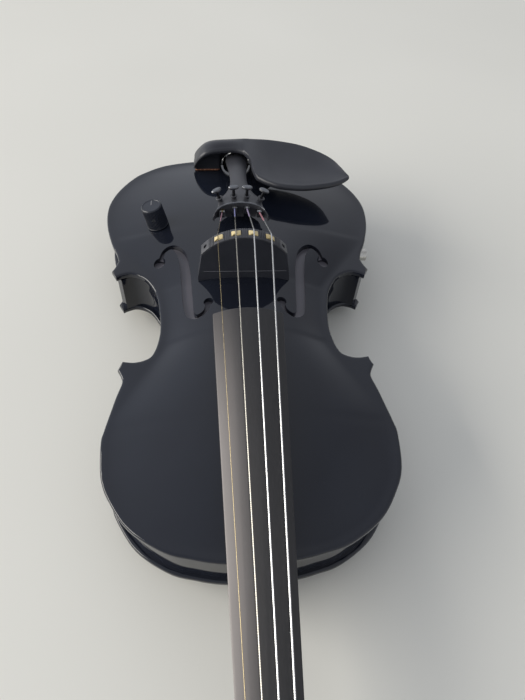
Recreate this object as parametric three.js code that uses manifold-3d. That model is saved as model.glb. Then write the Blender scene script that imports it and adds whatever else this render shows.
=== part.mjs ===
// A four-string electric violin with a carved, semi-hollow body. Millimetres, +Z up.
// +X is the bass side, +Y runs from the scroll to the tail, +Z points out of the top.
// It lies on the flat of its back. The pieces are modelled in the body's own frame, with y = 0 at
// the neck end and z = 0 at the top's edge, and the whole group is moved at the end so that the
// centre of the back cover is the origin.
import * as THREE from "three";
import { mergeVertices } from "three/addons/utils/BufferGeometryUtils.js";
import Module from "manifold-3d";

const wasm = await Module();
wasm.setup();

// Clearances
const SEAT_GAP = 0.3;
const TURN_GAP = 0.25;
const GLUE_GAP = 0.1;
const WINDING_GAP = 0.2;
const OVERRUN = 6;
const ABOVE_TOP_Z = 40;
const MERGE_WITHIN = 1e-4;

// Body outline: the marks are shares of the lower bout's half width and of the body's length
const BODY_LENGTH = 355;
const LOWER_BOUT_HALF = 105.3;
const CORNER_FACE = 6.6;
const OUTLINE_SHARES = {
  upperBout: [0.8167, 0.1986],
  upperNeck: [0.7417, 0.3163],
  upperTip: [0.7768, 0.3445],
  waist: [0.5413, 0.4394],
  lowerTip: [0.8993, 0.5952],
  lowerNeck: [0.8661, 0.6296],
  lowerBout: [1, 0.7831],
};
const [UPPER_BOUT_SHARE, UPPER_BOUT_Y_SHARE] = OUTLINE_SHARES.upperBout;
const UPPER_BOUT_HALF = LOWER_BOUT_HALF * UPPER_BOUT_SHARE;
const UPPER_BOUT_Y = BODY_LENGTH * UPPER_BOUT_Y_SHARE;
const WAIST_HALF = LOWER_BOUT_HALF * OUTLINE_SHARES.waist[0];

// Body section
const TOP_EDGE = 5;
const RIB_HEIGHT = 30;
const BACK_EDGE = 4.5;
const EDGE_ROUND = 1.6;
const TOP_ARCH = 14;
const BACK_ARCH = 10;
const ARCH_MARGIN = 4;
const ARCH_BOW = 2;
const RIB_INSET = 3;
const RIB_WALL = 8;
const BUTTON_HALF = 10.5;
const BUTTON_REACH = 12;
const CORE_TOP_Z = -TOP_EDGE;
const CORE_BOTTOM_Z = CORE_TOP_Z - RIB_HEIGHT;
const BACK_Z = CORE_BOTTOM_Z - BACK_EDGE - BACK_ARCH;

// Chambers in the core and the cover in the back
const NECK_BLOCK_LENGTH = 48;
const NECK_BLOCK_HALF = 27;
const TAIL_BLOCK_LENGTH = 34;
const TAIL_BLOCK_HALF = 26;
const UPPER_CHAMBER_END_SHARE = 0.3324;
const LOWER_CHAMBER_START_SHARE = 0.6366;
const UPPER_CHAMBER_END_Y = BODY_LENGTH * UPPER_CHAMBER_END_SHARE;
const LOWER_CHAMBER_START_Y = BODY_LENGTH * LOWER_CHAMBER_START_SHARE;
const COVER_HALF = 36;
const COVER_START_SHARE = 0.3662;
const COVER_START_Y = BODY_LENGTH * COVER_START_SHARE;
const COVER_LENGTH = 132;
const COVER_CORNER = 9;
const COVER_THICKNESS = 2.4;
const COVER_LEDGE = 6;
const COVER_CENTRE_Y = COVER_START_Y + COVER_LENGTH / 2;
const COVER_SCREW_RADIUS = 1.5;
const COVER_SCREW_HEAD = 2.9;
const COVER_SCREW_LENGTH = 9;
const COVER_SCREW_SLOT = 0.8;
const COVER_SCREW_INSET = 5;
const BAY_HALF = 29;
const BAY_SIDE_GAP = 2;
const BAY_START_Y = COVER_START_Y + COVER_LEDGE + BAY_SIDE_GAP;
const BAY_DEPTH = 22;
const BAY_SPACE = 5;

// Sound-hole grooves
const F_HOLE_DEPTH = 3.6;
const F_HOLE_WIDTH = 7.2;
const F_HOLE_NECK_EYE = 3.3;
const F_HOLE_TAIL_EYE = 4.3;
const F_HOLE_SPAN_SHARE = 0.5793;
const F_HOLE_START_SHARE = 0.4394;
const F_HOLE_LENGTH_SHARE = 0.2;
const F_HOLE_HALF_SPAN = LOWER_BOUT_HALF * F_HOLE_SPAN_SHARE;
const F_HOLE_START_Y = BODY_LENGTH * F_HOLE_START_SHARE;
const F_HOLE_LENGTH = BODY_LENGTH * F_HOLE_LENGTH_SHARE;
const F_HOLE_STEPS = 20;

// Fingerboard, neck and nut: the board's end keeps its place over the body
const BOARD_LENGTH = 270;
const BOARD_OVER_BODY_SHARE = 0.3944;
const BOARD_OVER_BODY = BODY_LENGTH * BOARD_OVER_BODY_SHARE;
const NECK_LENGTH = BOARD_LENGTH - BOARD_OVER_BODY;
const BOARD_NUT_HALF = 12;
const BOARD_END_HALF = 21.6;
const BOARD_RADIUS = 42;
const BOARD_EDGE = 5;
const BOARD_HOLLOW = 3.2;
const BOARD_HOLLOW_WALL = 4.2;
const BOARD_TOP_AT_BODY = 16.8;
const BOARD_SLOPE = 0.1385;
const NUT_LENGTH = 5.2;
const NUT_RISE = 1.1;
const NUT_GROOVE_DEPTH = 0.5;
const NECK_DEPTH = 13.5;
const NECK_HEEL_DEPTH = 17;
const NECK_WIDTH_SHARE = 0.975;
const HEEL_TENON = 7;
const HEEL_REACH = 26;

// Pegbox and scroll
const PEGBOX_LENGTH = 70;
const PEGBOX_SLOPE = 0.31;
const PEGBOX_WALL = 4.8;
const PEGBOX_START_DEPTH = 25;
const PEGBOX_END_DEPTH = 19;
const PEGBOX_END_HALF = 9.2;
const PEGBOX_FLOOR = 4;
const SCROLL_RADIUS = 23;
const SCROLL_TURNS = 2.25;
const SCROLL_STEPS = 24;
const SCROLL_EYE_RADIUS = 4.6;
const SCROLL_EYE_HALF = 20.5;
const SCROLL_DISH = 1.5;

// Pegs
const PEG_RADIUS = 3.5;
const PEG_DEPTH = 9.5;
const PEG_FIRST = 15;
const PEG_PITCH = 14.5;
const PEG_COLLAR_RADIUS = 5.4;
const PEG_COLLAR_GAP = 9;
const PEG_HEAD_LENGTH = 21;
const PEG_HEAD_HALF = 11.5;
const PEG_HEAD_THICKNESS = 5.2;
const PEG_TIP_OUT = 1.4;

// Bridge: its top follows a circle
const BRIDGE_SHARE = 0.5437;
const BRIDGE_Y = BODY_LENGTH * BRIDGE_SHARE;
const BRIDGE_THICKNESS = 9;
const BRIDGE_TOP_HALF = 28.5;
const BRIDGE_FOOT_HALF = 31.6;
const BRIDGE_TOP_Z = 49.3;
const BRIDGE_ARC = 36;
const BRIDGE_CAP = 1;
const BRIDGE_FOOT_Z = 14.5;
const BRIDGE_SEAM = 0.5;
const BRIDGE_SEAM_Z = 19.5;
const SADDLE_BLOCK_WIDTH = 6.4;
const SADDLE_BLOCK_LENGTH = 4;
const SADDLE_BLOCK_RISE = 1;
const CAP_SCREW_RADIUS = 1;
const CAP_SCREW_X = 26;
const CAP_SCREW_LENGTH = 8;

// Strings: E, A, D, G from the treble side
const STRING_NAMES = ["e", "a", "d", "g"];
const STRING_RADII = [0.17, 0.34, 0.4, 0.44];
const STRING_SPREAD_NUT = 16.4;
const STRING_SPREAD_BRIDGE = 35;
const STRING_SPREAD_TAIL = 27.4;
const STRING_SEAT = 0.15;
const BALL_RADIUS = 1.5;
const WINDING_TURNS = 3;
const WINDING_STEPS = 12;
const WIRE_SIDES = 5;
const WINDING_SPACE = 0.5;
// Which side each string's peg head is on, and its place from the nut
const PEG_ORDER = [1, 3, 2, 0];
const PEG_SIDES = [-1, -1, 1, 1];

// Tailpiece and fine tuners: the tailpiece ends a named gap before the tail saddle
const SADDLE_LENGTH = 8;
const TAILPIECE_GAP = 7;
const TAILPIECE_LENGTH = 92;
const TAILPIECE_END_Y = BODY_LENGTH - SADDLE_LENGTH - TAILPIECE_GAP;
const TAILPIECE_Y = TAILPIECE_END_Y - TAILPIECE_LENGTH;
const TAILPIECE_TOP_Z = 31;
const TAILPIECE_DROP = 12.6;
const TAILPIECE_HALF = 20.6;
const TAILPIECE_CROWN = 5.8;
const TAILPIECE_DEPTH = 12;
const TAILPIECE_FLARE = 9;
const TAILPIECE_MOUTH_HALF = 19.6;
const TAILPIECE_SHELL = 2.2;
const TAILPIECE_POCKET = 13.5;
const FRET_WIDTH = 1.6;
const FRET_RISE = 0.7;
const FRET_SPAN_SHARE = 0.86;
const TUNER_SETBACK = 10;
const TUNER_Y = TAILPIECE_Y + TUNER_SETBACK;
const TUNER_STEM_RADIUS = 1.1;
const TUNER_STEM_LENGTH = 15;
const TUNER_SPLAY = 0.3;
const TUNER_TURNS = [0.4, 0.12, -0.03, -0.28];
const TUNER_BOSS_RADIUS = 2.7;
const TUNER_BOSS_RISE = 2.6;
const TUNER_HEAD_HALF = 3.9;
const TUNER_HEAD_WIDE = 2.1;
const TUNER_HEAD_THICK = 2.6;
const TUNER_HEAD_RISE = 7.6;
const LEVER_WIDTH = 3.6;
const LEVER_SIDE_GAP = 0.3;
const LEVER_BALL_GAP = 0.2;
const LEVER_HUB_RADIUS = 2;
const LEVER_FORK_RISE = 2.4;
const AXLE_RADIUS = 0.9;
const AXLE_Y = TUNER_Y - TUNER_SETBACK / 2;
const AXLE_HEIGHT = 3;
const LEVER_THICKNESS = 1.8;
const LEVER_FORK_GAP = 1.3;
const TAILGUT_RADIUS = 0.9;
const TAILGUT_SPREAD = 7;
const GUT_Z = 15;
const GUT_HOLE_DEPTH = 14;
const GUT_DROP = 2;
const GUT_DROP_Y = BODY_LENGTH + GUT_DROP;

// Tail fittings
const SADDLE_HALF = 13;
const SADDLE_RISE = 7.6;
const ENDPIN_RADIUS = 3.6;
const ENDPIN_HEAD_RADIUS = 6.6;
const ENDPIN_LENGTH = 34;
const ENDPIN_HEAD_LENGTH = 13;
const ENDPIN_Z = -19;

// Volume control and electronics: the control leans with the slope of the top where it stands
const KNOB_X_SHARE = 0.5964;
const KNOB_Y_SHARE = 0.7155;
const KNOB_X = -LOWER_BOUT_HALF * KNOB_X_SHARE;
const KNOB_Y = BODY_LENGTH * KNOB_Y_SHARE;
const KNOB_LEAN = 0.2;
const KNOB_RADIUS = 8.2;
const KNOB_HEIGHT = 17.8;
const KNOB_FLOAT = 0.4;
const KNOB_BORE_DEPTH = 13;
const SET_SCREW_HEIGHT = 9.2;
const POT_SHAFT_RADIUS = 3;
const POT_BUSH_RADIUS = 4;
const POT_BODY_RADIUS = 8;
const POT_BODY_HEIGHT = 8.5;
const POT_POCKET_RADIUS = 11;
const POT_WALL = 3.6;
const POT_NUT_HALF = 5.6;
const POT_SEAT_RADIUS = 6.6;
const KNOB_SIDES = 24;
const POT_NUT_HEIGHT = 1.8;
const SET_SCREW_RADIUS = 1.4;
const SET_SCREW_LENGTH = 4.6;
const JACK_SHARE = 0.6958;
const JACK_Y = BODY_LENGTH * JACK_SHARE;
const JACK_Z = -18;
const JACK_THREAD_RADIUS = 4.7;
const JACK_BORE_RADIUS = 3.25;
const JACK_BODY_RADIUS = 6.4;
const JACK_BODY_LENGTH = 24;
const JACK_OUT = 8.5;
const JACK_WALL = 5;
const JACK_SEAT_DEPTH = 2;
const JACK_SEAT_RADIUS = 9;
const JACK_NUT_RADIUS = 7.2;
const JACK_NUT_THICKNESS = 2.4;
const BATTERY_LENGTH = 48.5;
const BATTERY_WIDTH = 26.5;
const BATTERY_DEPTH = 17.5;
const BATTERY_STUD_RADIUS = 3.1;
const BATTERY_STUD_HEIGHT = 2.2;
const BATTERY_STUD_PITCH = 12.7;
const BOARD_PCB_LENGTH = 46;
const BOARD_PCB_WIDTH = 32;
const BOARD_PCB_THICKNESS = 1.6;
const BOARD_CHIP = 9;
const BOARD_CHIP_HEIGHT = 3.2;

// Chin rest and its clamp
const REST_LEFT_X = -37;
const REST_WIDTH = 126;
const REST_REACH = 81;
const REST_FRONT_Y = BODY_LENGTH - REST_REACH;
const REST_DEPTH = 72;
const REST_OVERHANG = 8;
const REST_BACK_Y = BODY_LENGTH + REST_OVERHANG;
const REST_RIM_Z = 28;
const REST_THICKNESS = 5;
const REST_DISH = 6;
const REST_EDGE_ROUND = 2.4;
const REST_FOOT_Z = 1.5;
const REST_FOOT_INNER = 13.5;
const REST_FOOT_CORNER = 14;
const REST_FOOT_OUTER = 36.5;
const REST_FOOT_LENGTH = 27;
const REST_FOOT_FRONT_Y = REST_BACK_Y - REST_FOOT_LENGTH;
const CORK_THICKNESS = 2;
const CLAMP_X = 26;
const CLAMP_POST_RADIUS = 1.7;
const CLAMP_BARREL_RADIUS = 3.4;
const CLAMP_BARREL_LENGTH = 20;
const CLAMP_BARREL_HOLE = 0.9;
const CLAMP_BARREL_Z = -12;
const CLAMP_POST_TOP_Z = 9.5;
const CLAMP_CLEAR = 1.2;
const CLAMP_BAR_THICKNESS = 4.6;
const CLAMP_BAR_REACH = 14;
const CLAMP_PAD_HALF = 33;
const CLAMP_PAD_INNER = 19;

// Facets
const ROUND_SIDES = 18;
const SMALL_SIDES = 12;
const GRIP_STEPS = 8;
const CORNER_STEPS = 3;
const OUTLINE_STEPS = 24;
const WAIST_STEPS = 16;
const TOP_ROWS = 20;
const TOP_COLUMNS = 14;
const BACK_ROWS = 16;
const BACK_COLUMNS = 12;

const FINISH = {
  gloss: { color: 0x060708, roughness: 0.06, metalness: 0 },
  ebony: { color: 0x17171a, roughness: 0.42, metalness: 0 },
  rest: { color: 0x15161a, roughness: 0.5, metalness: 0 },
  composite: { color: 0x1d1e22, roughness: 0.38, metalness: 0 },
  lever: { color: 0x8d8f92, roughness: 0.3, metalness: 1 },
  black_screw: { color: 0x1f2023, roughness: 0.35, metalness: 0.8 },
  bridge: { color: 0x121215, roughness: 0.4, metalness: 0 },
  cap: { color: 0x4a4b50, roughness: 0.45, metalness: 0 },
  cream: { color: 0xd9cfa6, roughness: 0.4, metalness: 0 },
  steel: { color: 0xb9bbbd, roughness: 0.28, metalness: 1 },
  knob: { color: 0x101114, roughness: 0.4, metalness: 0 },
  nickel: { color: 0xc9c8c3, roughness: 0.18, metalness: 1 },
  cork: { color: 0xa8683f, roughness: 0.9, metalness: 0 },
  board: { color: 0x1d5a34, roughness: 0.5, metalness: 0 },
  cell: { color: 0x2b2d31, roughness: 0.4, metalness: 0.2 },
  plastic: { color: 0x0d0e10, roughness: 0.5, metalness: 0 },
  gut: { color: 0x202022, roughness: 0.4, metalness: 0 },
};

const violin = new THREE.Group();

function solidFrom(geometry) {
  const bare = geometry.clone();
  bare.deleteAttribute("normal");
  bare.deleteAttribute("uv");
  const merged = mergeVertices(bare, MERGE_WITHIN);
  return new wasm.Manifold(
    new wasm.Mesh({
      numProp: 3,
      vertProperties: merged.attributes.position.array,
      triVerts: new Uint32Array(merged.index.array),
    }),
  );
}

function geometryFrom(solid) {
  const mesh = solid.getMesh();
  const flat = new THREE.BufferGeometry();
  flat.setAttribute("position", new THREE.BufferAttribute(mesh.vertProperties, 3));
  flat.setIndex(new THREE.BufferAttribute(mesh.triVerts, 1));
  flat.computeVertexNormals();
  return flat;
}

function addPiece(name, shape, finish) {
  const geometry = shape.isBufferGeometry ? shape : geometryFrom(shape);
  const mesh = new THREE.Mesh(geometry, new THREE.MeshStandardMaterial(FINISH[finish]));
  mesh.name = name;
  violin.add(mesh);
}

// Small shapes, each as a solid in the body's frame
function box(size, centre) {
  return solidFrom(new THREE.BoxGeometry(...size).translate(...centre));
}

const AXIS_TURN = {
  x: new THREE.Matrix4().makeRotationZ(-Math.PI / 2),
  y: new THREE.Matrix4(),
  z: new THREE.Matrix4().makeRotationX(Math.PI / 2),
};

// A solid of revolution whose profile gives radius and distance along the axis
function turned(profile, axis, centre, sides = ROUND_SIDES) {
  const points = profile.map(([r, along]) => new THREE.Vector2(r, along));
  return solidFrom(
    new THREE.LatheGeometry(points, sides).applyMatrix4(AXIS_TURN[axis]).translate(...centre),
  );
}

function rod(radius, from, to, axis, centre, sides = ROUND_SIDES) {
  return turned([[0, from], [radius, from], [radius, to], [0, to]], axis, centre, sides);
}

function prism(points, depth, bottomZ) {
  const shape = new THREE.Shape(points);
  return solidFrom(
    new THREE.ExtrudeGeometry(shape, { depth, bevelEnabled: false }).translate(0, 0, bottomZ),
  );
}

function fusedWith(first, others) {
  return others.reduce((sum, next) => sum.add(next), first);
}

// Six times the volume inside a triangle list, negative where its faces point inwards
function signedVolume(positions, index) {
  const corner = (i) => new THREE.Vector3().fromArray(positions, 3 * i);
  let sum = 0;
  for (let i = 0; i < index.length; i += 3) {
    sum += corner(index[i]).dot(corner(index[i + 1]).cross(corner(index[i + 2])));
  }
  return sum;
}

// A closed skin over rings of equal length, with its faces outwards whichever way the rings turn
function loft(rings) {
  const count = rings[0].length;
  const positions = [];
  rings.forEach((ring) => ring.forEach((p) => positions.push(p.x, p.y, p.z)));
  const index = [];
  for (let r = 0; r + 1 < rings.length; r++) {
    for (let i = 0; i < count; i++) {
      const a = r * count + i;
      const b = r * count + ((i + 1) % count);
      index.push(a, b, a + count, b, b + count, a + count);
    }
  }
  const middleOf = (ring) =>
    ring.reduce((sum, p) => sum.add(p), new THREE.Vector3()).divideScalar(count);
  [rings[0], rings[rings.length - 1]].forEach((ring, end) => {
    const middle = middleOf(ring);
    const hub = positions.length / 3;
    positions.push(middle.x, middle.y, middle.z);
    const start = end * (rings.length - 1) * count;
    for (let i = 0; i < count; i++) {
      const a = start + i;
      const b = start + ((i + 1) % count);
      index.push(...(end ? [a, b, hub] : [b, a, hub]));
    }
  });
  const geometry = new THREE.BufferGeometry();
  geometry.setAttribute("position", new THREE.Float32BufferAttribute(positions, 3));
  geometry.setIndex(signedVolume(positions, index) < 0 ? index.slice().reverse() : index);
  return solidFrom(geometry);
}

// Body outline: each stretch eases from one named point to the next by shares of the way
const TO_UPPER_BOUT_SHARES = [
  [0, 0], [0.233, 0.024], [0.384, 0.06], [0.558, 0.123],
  [0.767, 0.291], [0.899, 0.505], [0.971, 0.704], [1, 1],
];
const TO_UPPER_CORNER_SHARES = [[0.114, 0.203], [0.405, 0.49], [0.709, 0.775], [1, 1]];
const UPPER_CORNER_SHARES = [[0.27, 0.47], [1, 1]];
const TO_WAIST_SHARES = [[0, 0], [0.38, -0.03], [0.73, 0.08], [0.88, 0.29], [0.965, 0.6], [1, 1]];
const TO_LOWER_CORNER_SHARES = [
  [0.044, 0.34], [0.124, 0.63], [0.247, 0.823], [0.388, 0.966],
  [0.547, 1.045], [0.72, 1.08], [0.88, 1.05], [1, 1],
];
const LOWER_CORNER_SHARES = [[0, 0], [0.63, 0.43], [0.97, 0.8], [1, 1]];
const TO_LOWER_BOUT_SHARES = [[0.163, 0.15], [0.383, 0.275], [0.61, 0.45], [0.865, 0.706], [1, 1]];
const TO_TAIL_SHARES = [
  [0.01, 0.195], [0.063, 0.416], [0.16, 0.638], [0.248, 0.755],
  [0.383, 0.877], [0.544, 0.948], [0.715, 0.987], [1, 1],
];

function eased(from, to, shares) {
  return shares.map(
    ([s, t]) => new THREE.Vector2(from.x + (to.x - from.x) * s, from.y + (to.y - from.y) * t),
  );
}

// The named points of the half outline, drawn in by an inset
function outlineMarks(inset) {
  const face = CORNER_FACE / Math.SQRT2;
  const mark = (x, y) => new THREE.Vector2(x, y);
  const marks = { neck: mark(0, inset), tail: mark(0, BODY_LENGTH - inset) };
  for (const [name, [across, along]] of Object.entries(OUTLINE_SHARES)) {
    marks[name] = mark(LOWER_BOUT_HALF * across - inset, BODY_LENGTH * along);
  }
  const { upperTip, lowerTip } = marks;
  marks.upperHeel = mark(upperTip.x - face / 2, upperTip.y + CORNER_FACE - inset / 2);
  marks.lowerHeel = mark(lowerTip.x - face * 0.8, lowerTip.y - CORNER_FACE + inset / 2);
  return marks;
}

function halfOutline(inset) {
  const m = outlineMarks(inset);
  const upper = [
    ...eased(m.neck, m.upperBout, TO_UPPER_BOUT_SHARES),
    ...eased(m.upperBout, m.upperNeck, TO_UPPER_CORNER_SHARES),
    ...eased(m.upperNeck, m.upperTip, UPPER_CORNER_SHARES),
  ];
  const middle = [
    ...eased(m.upperHeel, m.waist, TO_WAIST_SHARES),
    ...eased(m.waist, m.lowerHeel, TO_LOWER_CORNER_SHARES),
  ];
  const lower = [
    ...eased(m.lowerTip, m.lowerNeck, LOWER_CORNER_SHARES),
    ...eased(m.lowerNeck, m.lowerBout, TO_LOWER_BOUT_SHARES),
    ...eased(m.lowerBout, m.tail, TO_TAIL_SHARES),
  ];
  return [
    ...new THREE.SplineCurve(upper).getSpacedPoints(OUTLINE_STEPS),
    ...new THREE.SplineCurve(middle).getSpacedPoints(WAIST_STEPS),
    ...new THREE.SplineCurve(lower).getSpacedPoints(OUTLINE_STEPS),
  ];
}

// The whole outline, anticlockwise seen from above, with the back's button where asked
function bodyOutline(inset, withButton = false) {
  let half = halfOutline(inset);
  half[half.length - 1].x = 0;
  if (withButton) {
    const arc = [];
    for (let i = 0; i <= SMALL_SIDES / 2; i++) {
      const angle = (i / SMALL_SIDES) * Math.PI;
      arc.push(
        new THREE.Vector2(BUTTON_HALF * Math.sin(angle), -BUTTON_REACH * Math.cos(angle)),
      );
    }
    half = [...arc, ...half.filter((p) => p.x > BUTTON_HALF + EDGE_ROUND || p.y > UPPER_BOUT_Y)];
  }
  const mirrored = half
    .slice(1, -1)
    .reverse()
    .map((p) => new THREE.Vector2(-p.x, p.y));
  return [...half, ...mirrored];
}

// Half width of the arched field at a station, which runs past the corners in one smooth curve
const archEdge = (() => {
  const m = outlineMarks(ARCH_MARGIN);
  const points = [
    ...eased(m.neck, m.upperBout, TO_UPPER_BOUT_SHARES),
    ...eased(m.upperBout, m.upperNeck, TO_UPPER_CORNER_SHARES.slice(0, 2)),
    ...eased(m.upperHeel, m.waist, TO_WAIST_SHARES.slice(-3)),
    ...eased(m.waist, m.lowerHeel, TO_LOWER_CORNER_SHARES.slice(0, 3)),
    ...eased(m.lowerNeck, m.lowerBout, TO_LOWER_BOUT_SHARES.slice(1)),
    ...eased(m.lowerBout, m.tail, TO_TAIL_SHARES),
  ];
  return new THREE.SplineCurve(points).getSpacedPoints(OUTLINE_STEPS * 12);
})();

function archHalfAt(y) {
  const next = archEdge.findIndex((p) => p.y >= y);
  if (next <= 0) return 0;
  const a = archEdge[next - 1];
  const b = archEdge[next];
  return a.x + ((b.x - a.x) * (y - a.y)) / Math.max(b.y - a.y, MERGE_WITHIN);
}

const ARCH_END_SHARE = 0.006;
const ARCH_FIRST_Y = ARCH_MARGIN + BODY_LENGTH * ARCH_END_SHARE;
const ARCH_LAST_Y = BODY_LENGTH - ARCH_FIRST_Y;

// Share of the full arch at a point: 1 in the middle, 0 at the rim of the arched field
function archShare(x, y) {
  const half = archHalfAt(y);
  if (y <= ARCH_FIRST_Y || y >= ARCH_LAST_Y || half <= Math.abs(x)) return 0;
  const across = Math.abs(x) / half;
  const along = Math.abs((2 * y - ARCH_FIRST_Y - ARCH_LAST_Y) / (ARCH_LAST_Y - ARCH_FIRST_Y));
  return (1 - across ** 3) ** 1.6 * (1 - along ** 3) ** 1.1;
}

const topHeight = (x, y) => TOP_ARCH * archShare(x, y);
// The back's arch is cut off flat in the middle, where the instrument lies and the cover sits
const backHeight = (x, y) => BACK_ARCH * Math.min(1, archShare(x, y) * 1.6);

// A plate with rounded edges whose upper face is arched. Its edge lies at z = 0, its flat face below.
function archedPlate(outline, thickness, heightAt, rows, columns) {
  const contour = outline.slice();
  const inward = (i) => {
    const before = contour[(i + contour.length - 1) % contour.length];
    const after = contour[(i + 1) % contour.length];
    const along = after.clone().sub(before).normalize();
    return new THREE.Vector2(-along.y, along.x);
  };
  const lean = 1 - Math.SQRT1_2;
  const rims = [
    [EDGE_ROUND / 2, -thickness],
    [0, EDGE_ROUND / 2 - thickness],
    [0, -EDGE_ROUND],
    [EDGE_ROUND * lean, -EDGE_ROUND * lean],
    [EDGE_ROUND, 0],
  ].map(([inset, z]) =>
    contour.map((p, i) => {
      const side = inward(i);
      return new THREE.Vector3(p.x + side.x * inset, p.y + side.y * inset, z);
    }),
  );
  const positions = [];
  const index = [];
  const put = (x, y, z) => positions.push(x, y, z) / 3 - 1;
  const rimAt = rims.map((rim) => rim.map((p) => put(p.x, p.y, p.z)));
  const count = contour.length;
  for (let r = 0; r + 1 < rimAt.length; r++) {
    for (let i = 0; i < count; i++) {
      const j = (i + 1) % count;
      index.push(rimAt[r][i], rimAt[r][j], rimAt[r + 1][i]);
      index.push(rimAt[r][j], rimAt[r + 1][j], rimAt[r + 1][i]);
    }
  }
  // The flat face below
  const flat = (rim) => rim.map((p) => new THREE.Vector2(p.x, p.y));
  THREE.ShapeUtils.triangulateShape(flat(rims[0]), []).forEach(([a, b, c]) =>
    index.push(rimAt[0][a], rimAt[0][c], rimAt[0][b]),
  );
  // The arched field
  const field = [];
  for (let r = 0; r <= rows; r++) {
    const share = (1 - Math.cos((Math.PI * r) / rows)) / 2;
    const even = r / rows;
    const y = ARCH_FIRST_Y + (ARCH_LAST_Y - ARCH_FIRST_Y) * (share + even) * 0.5;
    const half = archHalfAt(y);
    const row = [];
    for (let c = 0; c <= columns; c++) {
      const across = Math.sin((Math.PI / 2) * ((2 * c) / columns - 1));
      const x = half * across;
      const rim = c === 0 || c === columns || r === 0 || r === rows;
      const end = r === rows ? 1 : r === 0 ? -1 : 0;
      const bowed = y + end * ARCH_BOW * (1 - across * across);
      row.push(put(x, bowed, rim ? 0 : heightAt(x, y)));
    }
    field.push(row);
  }
  for (let r = 0; r < rows; r++) {
    for (let c = 0; c < columns; c++) {
      const [a, b, d, e] = [field[r][c], field[r][c + 1], field[r + 1][c], field[r + 1][c + 1]];
      index.push(...(c < columns / 2 ? [a, b, d, b, e, d] : [a, b, e, a, e, d]));
    }
  }
  // The flat margin between the rim and the arched field
  const ring = [
    ...field[0],
    ...field.slice(1).map((row) => row[columns]),
    ...field[rows].slice(0, -1).reverse(),
    ...field.slice(1, -1).reverse().map((row) => row[0]),
  ];
  const at = (i) => new THREE.Vector2(positions[3 * i], positions[3 * i + 1]);
  const hole = ring.slice().reverse();
  const upperRim = rimAt[rimAt.length - 1];
  const all = [...upperRim, ...hole];
  THREE.ShapeUtils.triangulateShape(upperRim.map(at), [hole.map(at)]).forEach(([a, b, c]) =>
    index.push(all[a], all[b], all[c]),
  );
  const geometry = new THREE.BufferGeometry();
  geometry.setAttribute("position", new THREE.Float32BufferAttribute(positions, 3));
  geometry.setIndex(index);
  return solidFrom(geometry);
}

// Fingerboard lines
const boardTopAt = (y) => BOARD_TOP_AT_BODY + BOARD_SLOPE * y;
const boardHalfAt = (y) =>
  BOARD_NUT_HALF + ((BOARD_END_HALF - BOARD_NUT_HALF) * (y + NECK_LENGTH)) / BOARD_LENGTH;
const crownDrop = (x, radius) => (x * x) / (2 * radius);
const BOARD_END_Y = BOARD_LENGTH - NECK_LENGTH;
const NUT_Y = -NECK_LENGTH;
// The board's underside, straight from one end to the other
const boardBottomAt = (y) => {
  const under = (at) => boardTopAt(at) - crownDrop(boardHalfAt(at), BOARD_RADIUS) - BOARD_EDGE;
  return under(NUT_Y) + ((under(BOARD_END_Y) - under(NUT_Y)) * (y - NUT_Y)) / BOARD_LENGTH;
};

// Points from one half width to the other over a crown
function crownedArc(half, height, count) {
  const points = [];
  for (let i = 0; i <= count; i++) {
    const x = half * (1 - (2 * i) / count);
    points.push([x, height(x)]);
  }
  return points;
}

const upright = (y, points) => points.map(([x, z]) => new THREE.Vector3(x, y, z));

function fingerboard() {
  const ring = (y, half) =>
    upright(y, [
      ...crownedArc(half, (x) => boardTopAt(y) - crownDrop(x, BOARD_RADIUS), 8),
      [-half, boardBottomAt(y)],
      [half, boardBottomAt(y)],
    ]);
  const board = loft([ring(NUT_Y, BOARD_NUT_HALF), ring(BOARD_END_Y, BOARD_END_HALF)]);
  const hollow = (y) => {
    const half = boardHalfAt(y) - BOARD_HOLLOW_WALL;
    return upright(y, [
      ...crownedArc(half, (x) => boardBottomAt(y) + BOARD_HOLLOW * (1 - (x / half) ** 2), 8),
      [-half, boardBottomAt(y) - BOARD_HOLLOW],
      [half, boardBottomAt(y) - BOARD_HOLLOW],
    ]);
  };
  return board.subtract(loft([hollow(HEEL_TENON + BOARD_HOLLOW_WALL), hollow(BOARD_END_Y + OVERRUN)]));
}

// Half a neck section: flat above, round to square below, with a narrower foot
function neckRing(y, topZ, half, depth, squareness, footShare) {
  const steps = SMALL_SIDES;
  const points = [];
  for (let i = 0; i <= steps; i++) {
    const angle = (Math.PI * i) / steps;
    const across = Math.sign(Math.cos(angle)) * Math.abs(Math.cos(angle)) ** (2 / squareness);
    const down = Math.sin(angle) ** (2 / squareness);
    points.push([half * across * (1 - (1 - footShare) * down), topZ - depth * down]);
  }
  return upright(y, points);
}

const neckTopAt = (y) => boardBottomAt(y) - GLUE_GAP;
const cheekTopAt = (y) => boardTopAt(NUT_Y) - NUT_RISE - PEGBOX_SLOPE * (NUT_Y - y);
const PEGBOX_START_Y = NUT_Y - NUT_LENGTH;
const PEGBOX_END_Y = PEGBOX_START_Y - PEGBOX_LENGTH;
const pegboxShareAt = (y) => (PEGBOX_START_Y - y) / PEGBOX_LENGTH;
const pegboxHalfAt = (y) =>
  BOARD_NUT_HALF + (PEGBOX_END_HALF - BOARD_NUT_HALF) * Math.max(0, pegboxShareAt(y));
const pegboxDepthAt = (y) =>
  PEGBOX_START_DEPTH + (PEGBOX_END_DEPTH - PEGBOX_START_DEPTH) * pegboxShareAt(y);
const cavityHalfAt = (y) => pegboxHalfAt(y) - PEGBOX_WALL;

const neckHalfAt = (y) => boardHalfAt(y) * NECK_WIDTH_SHARE;

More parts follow.
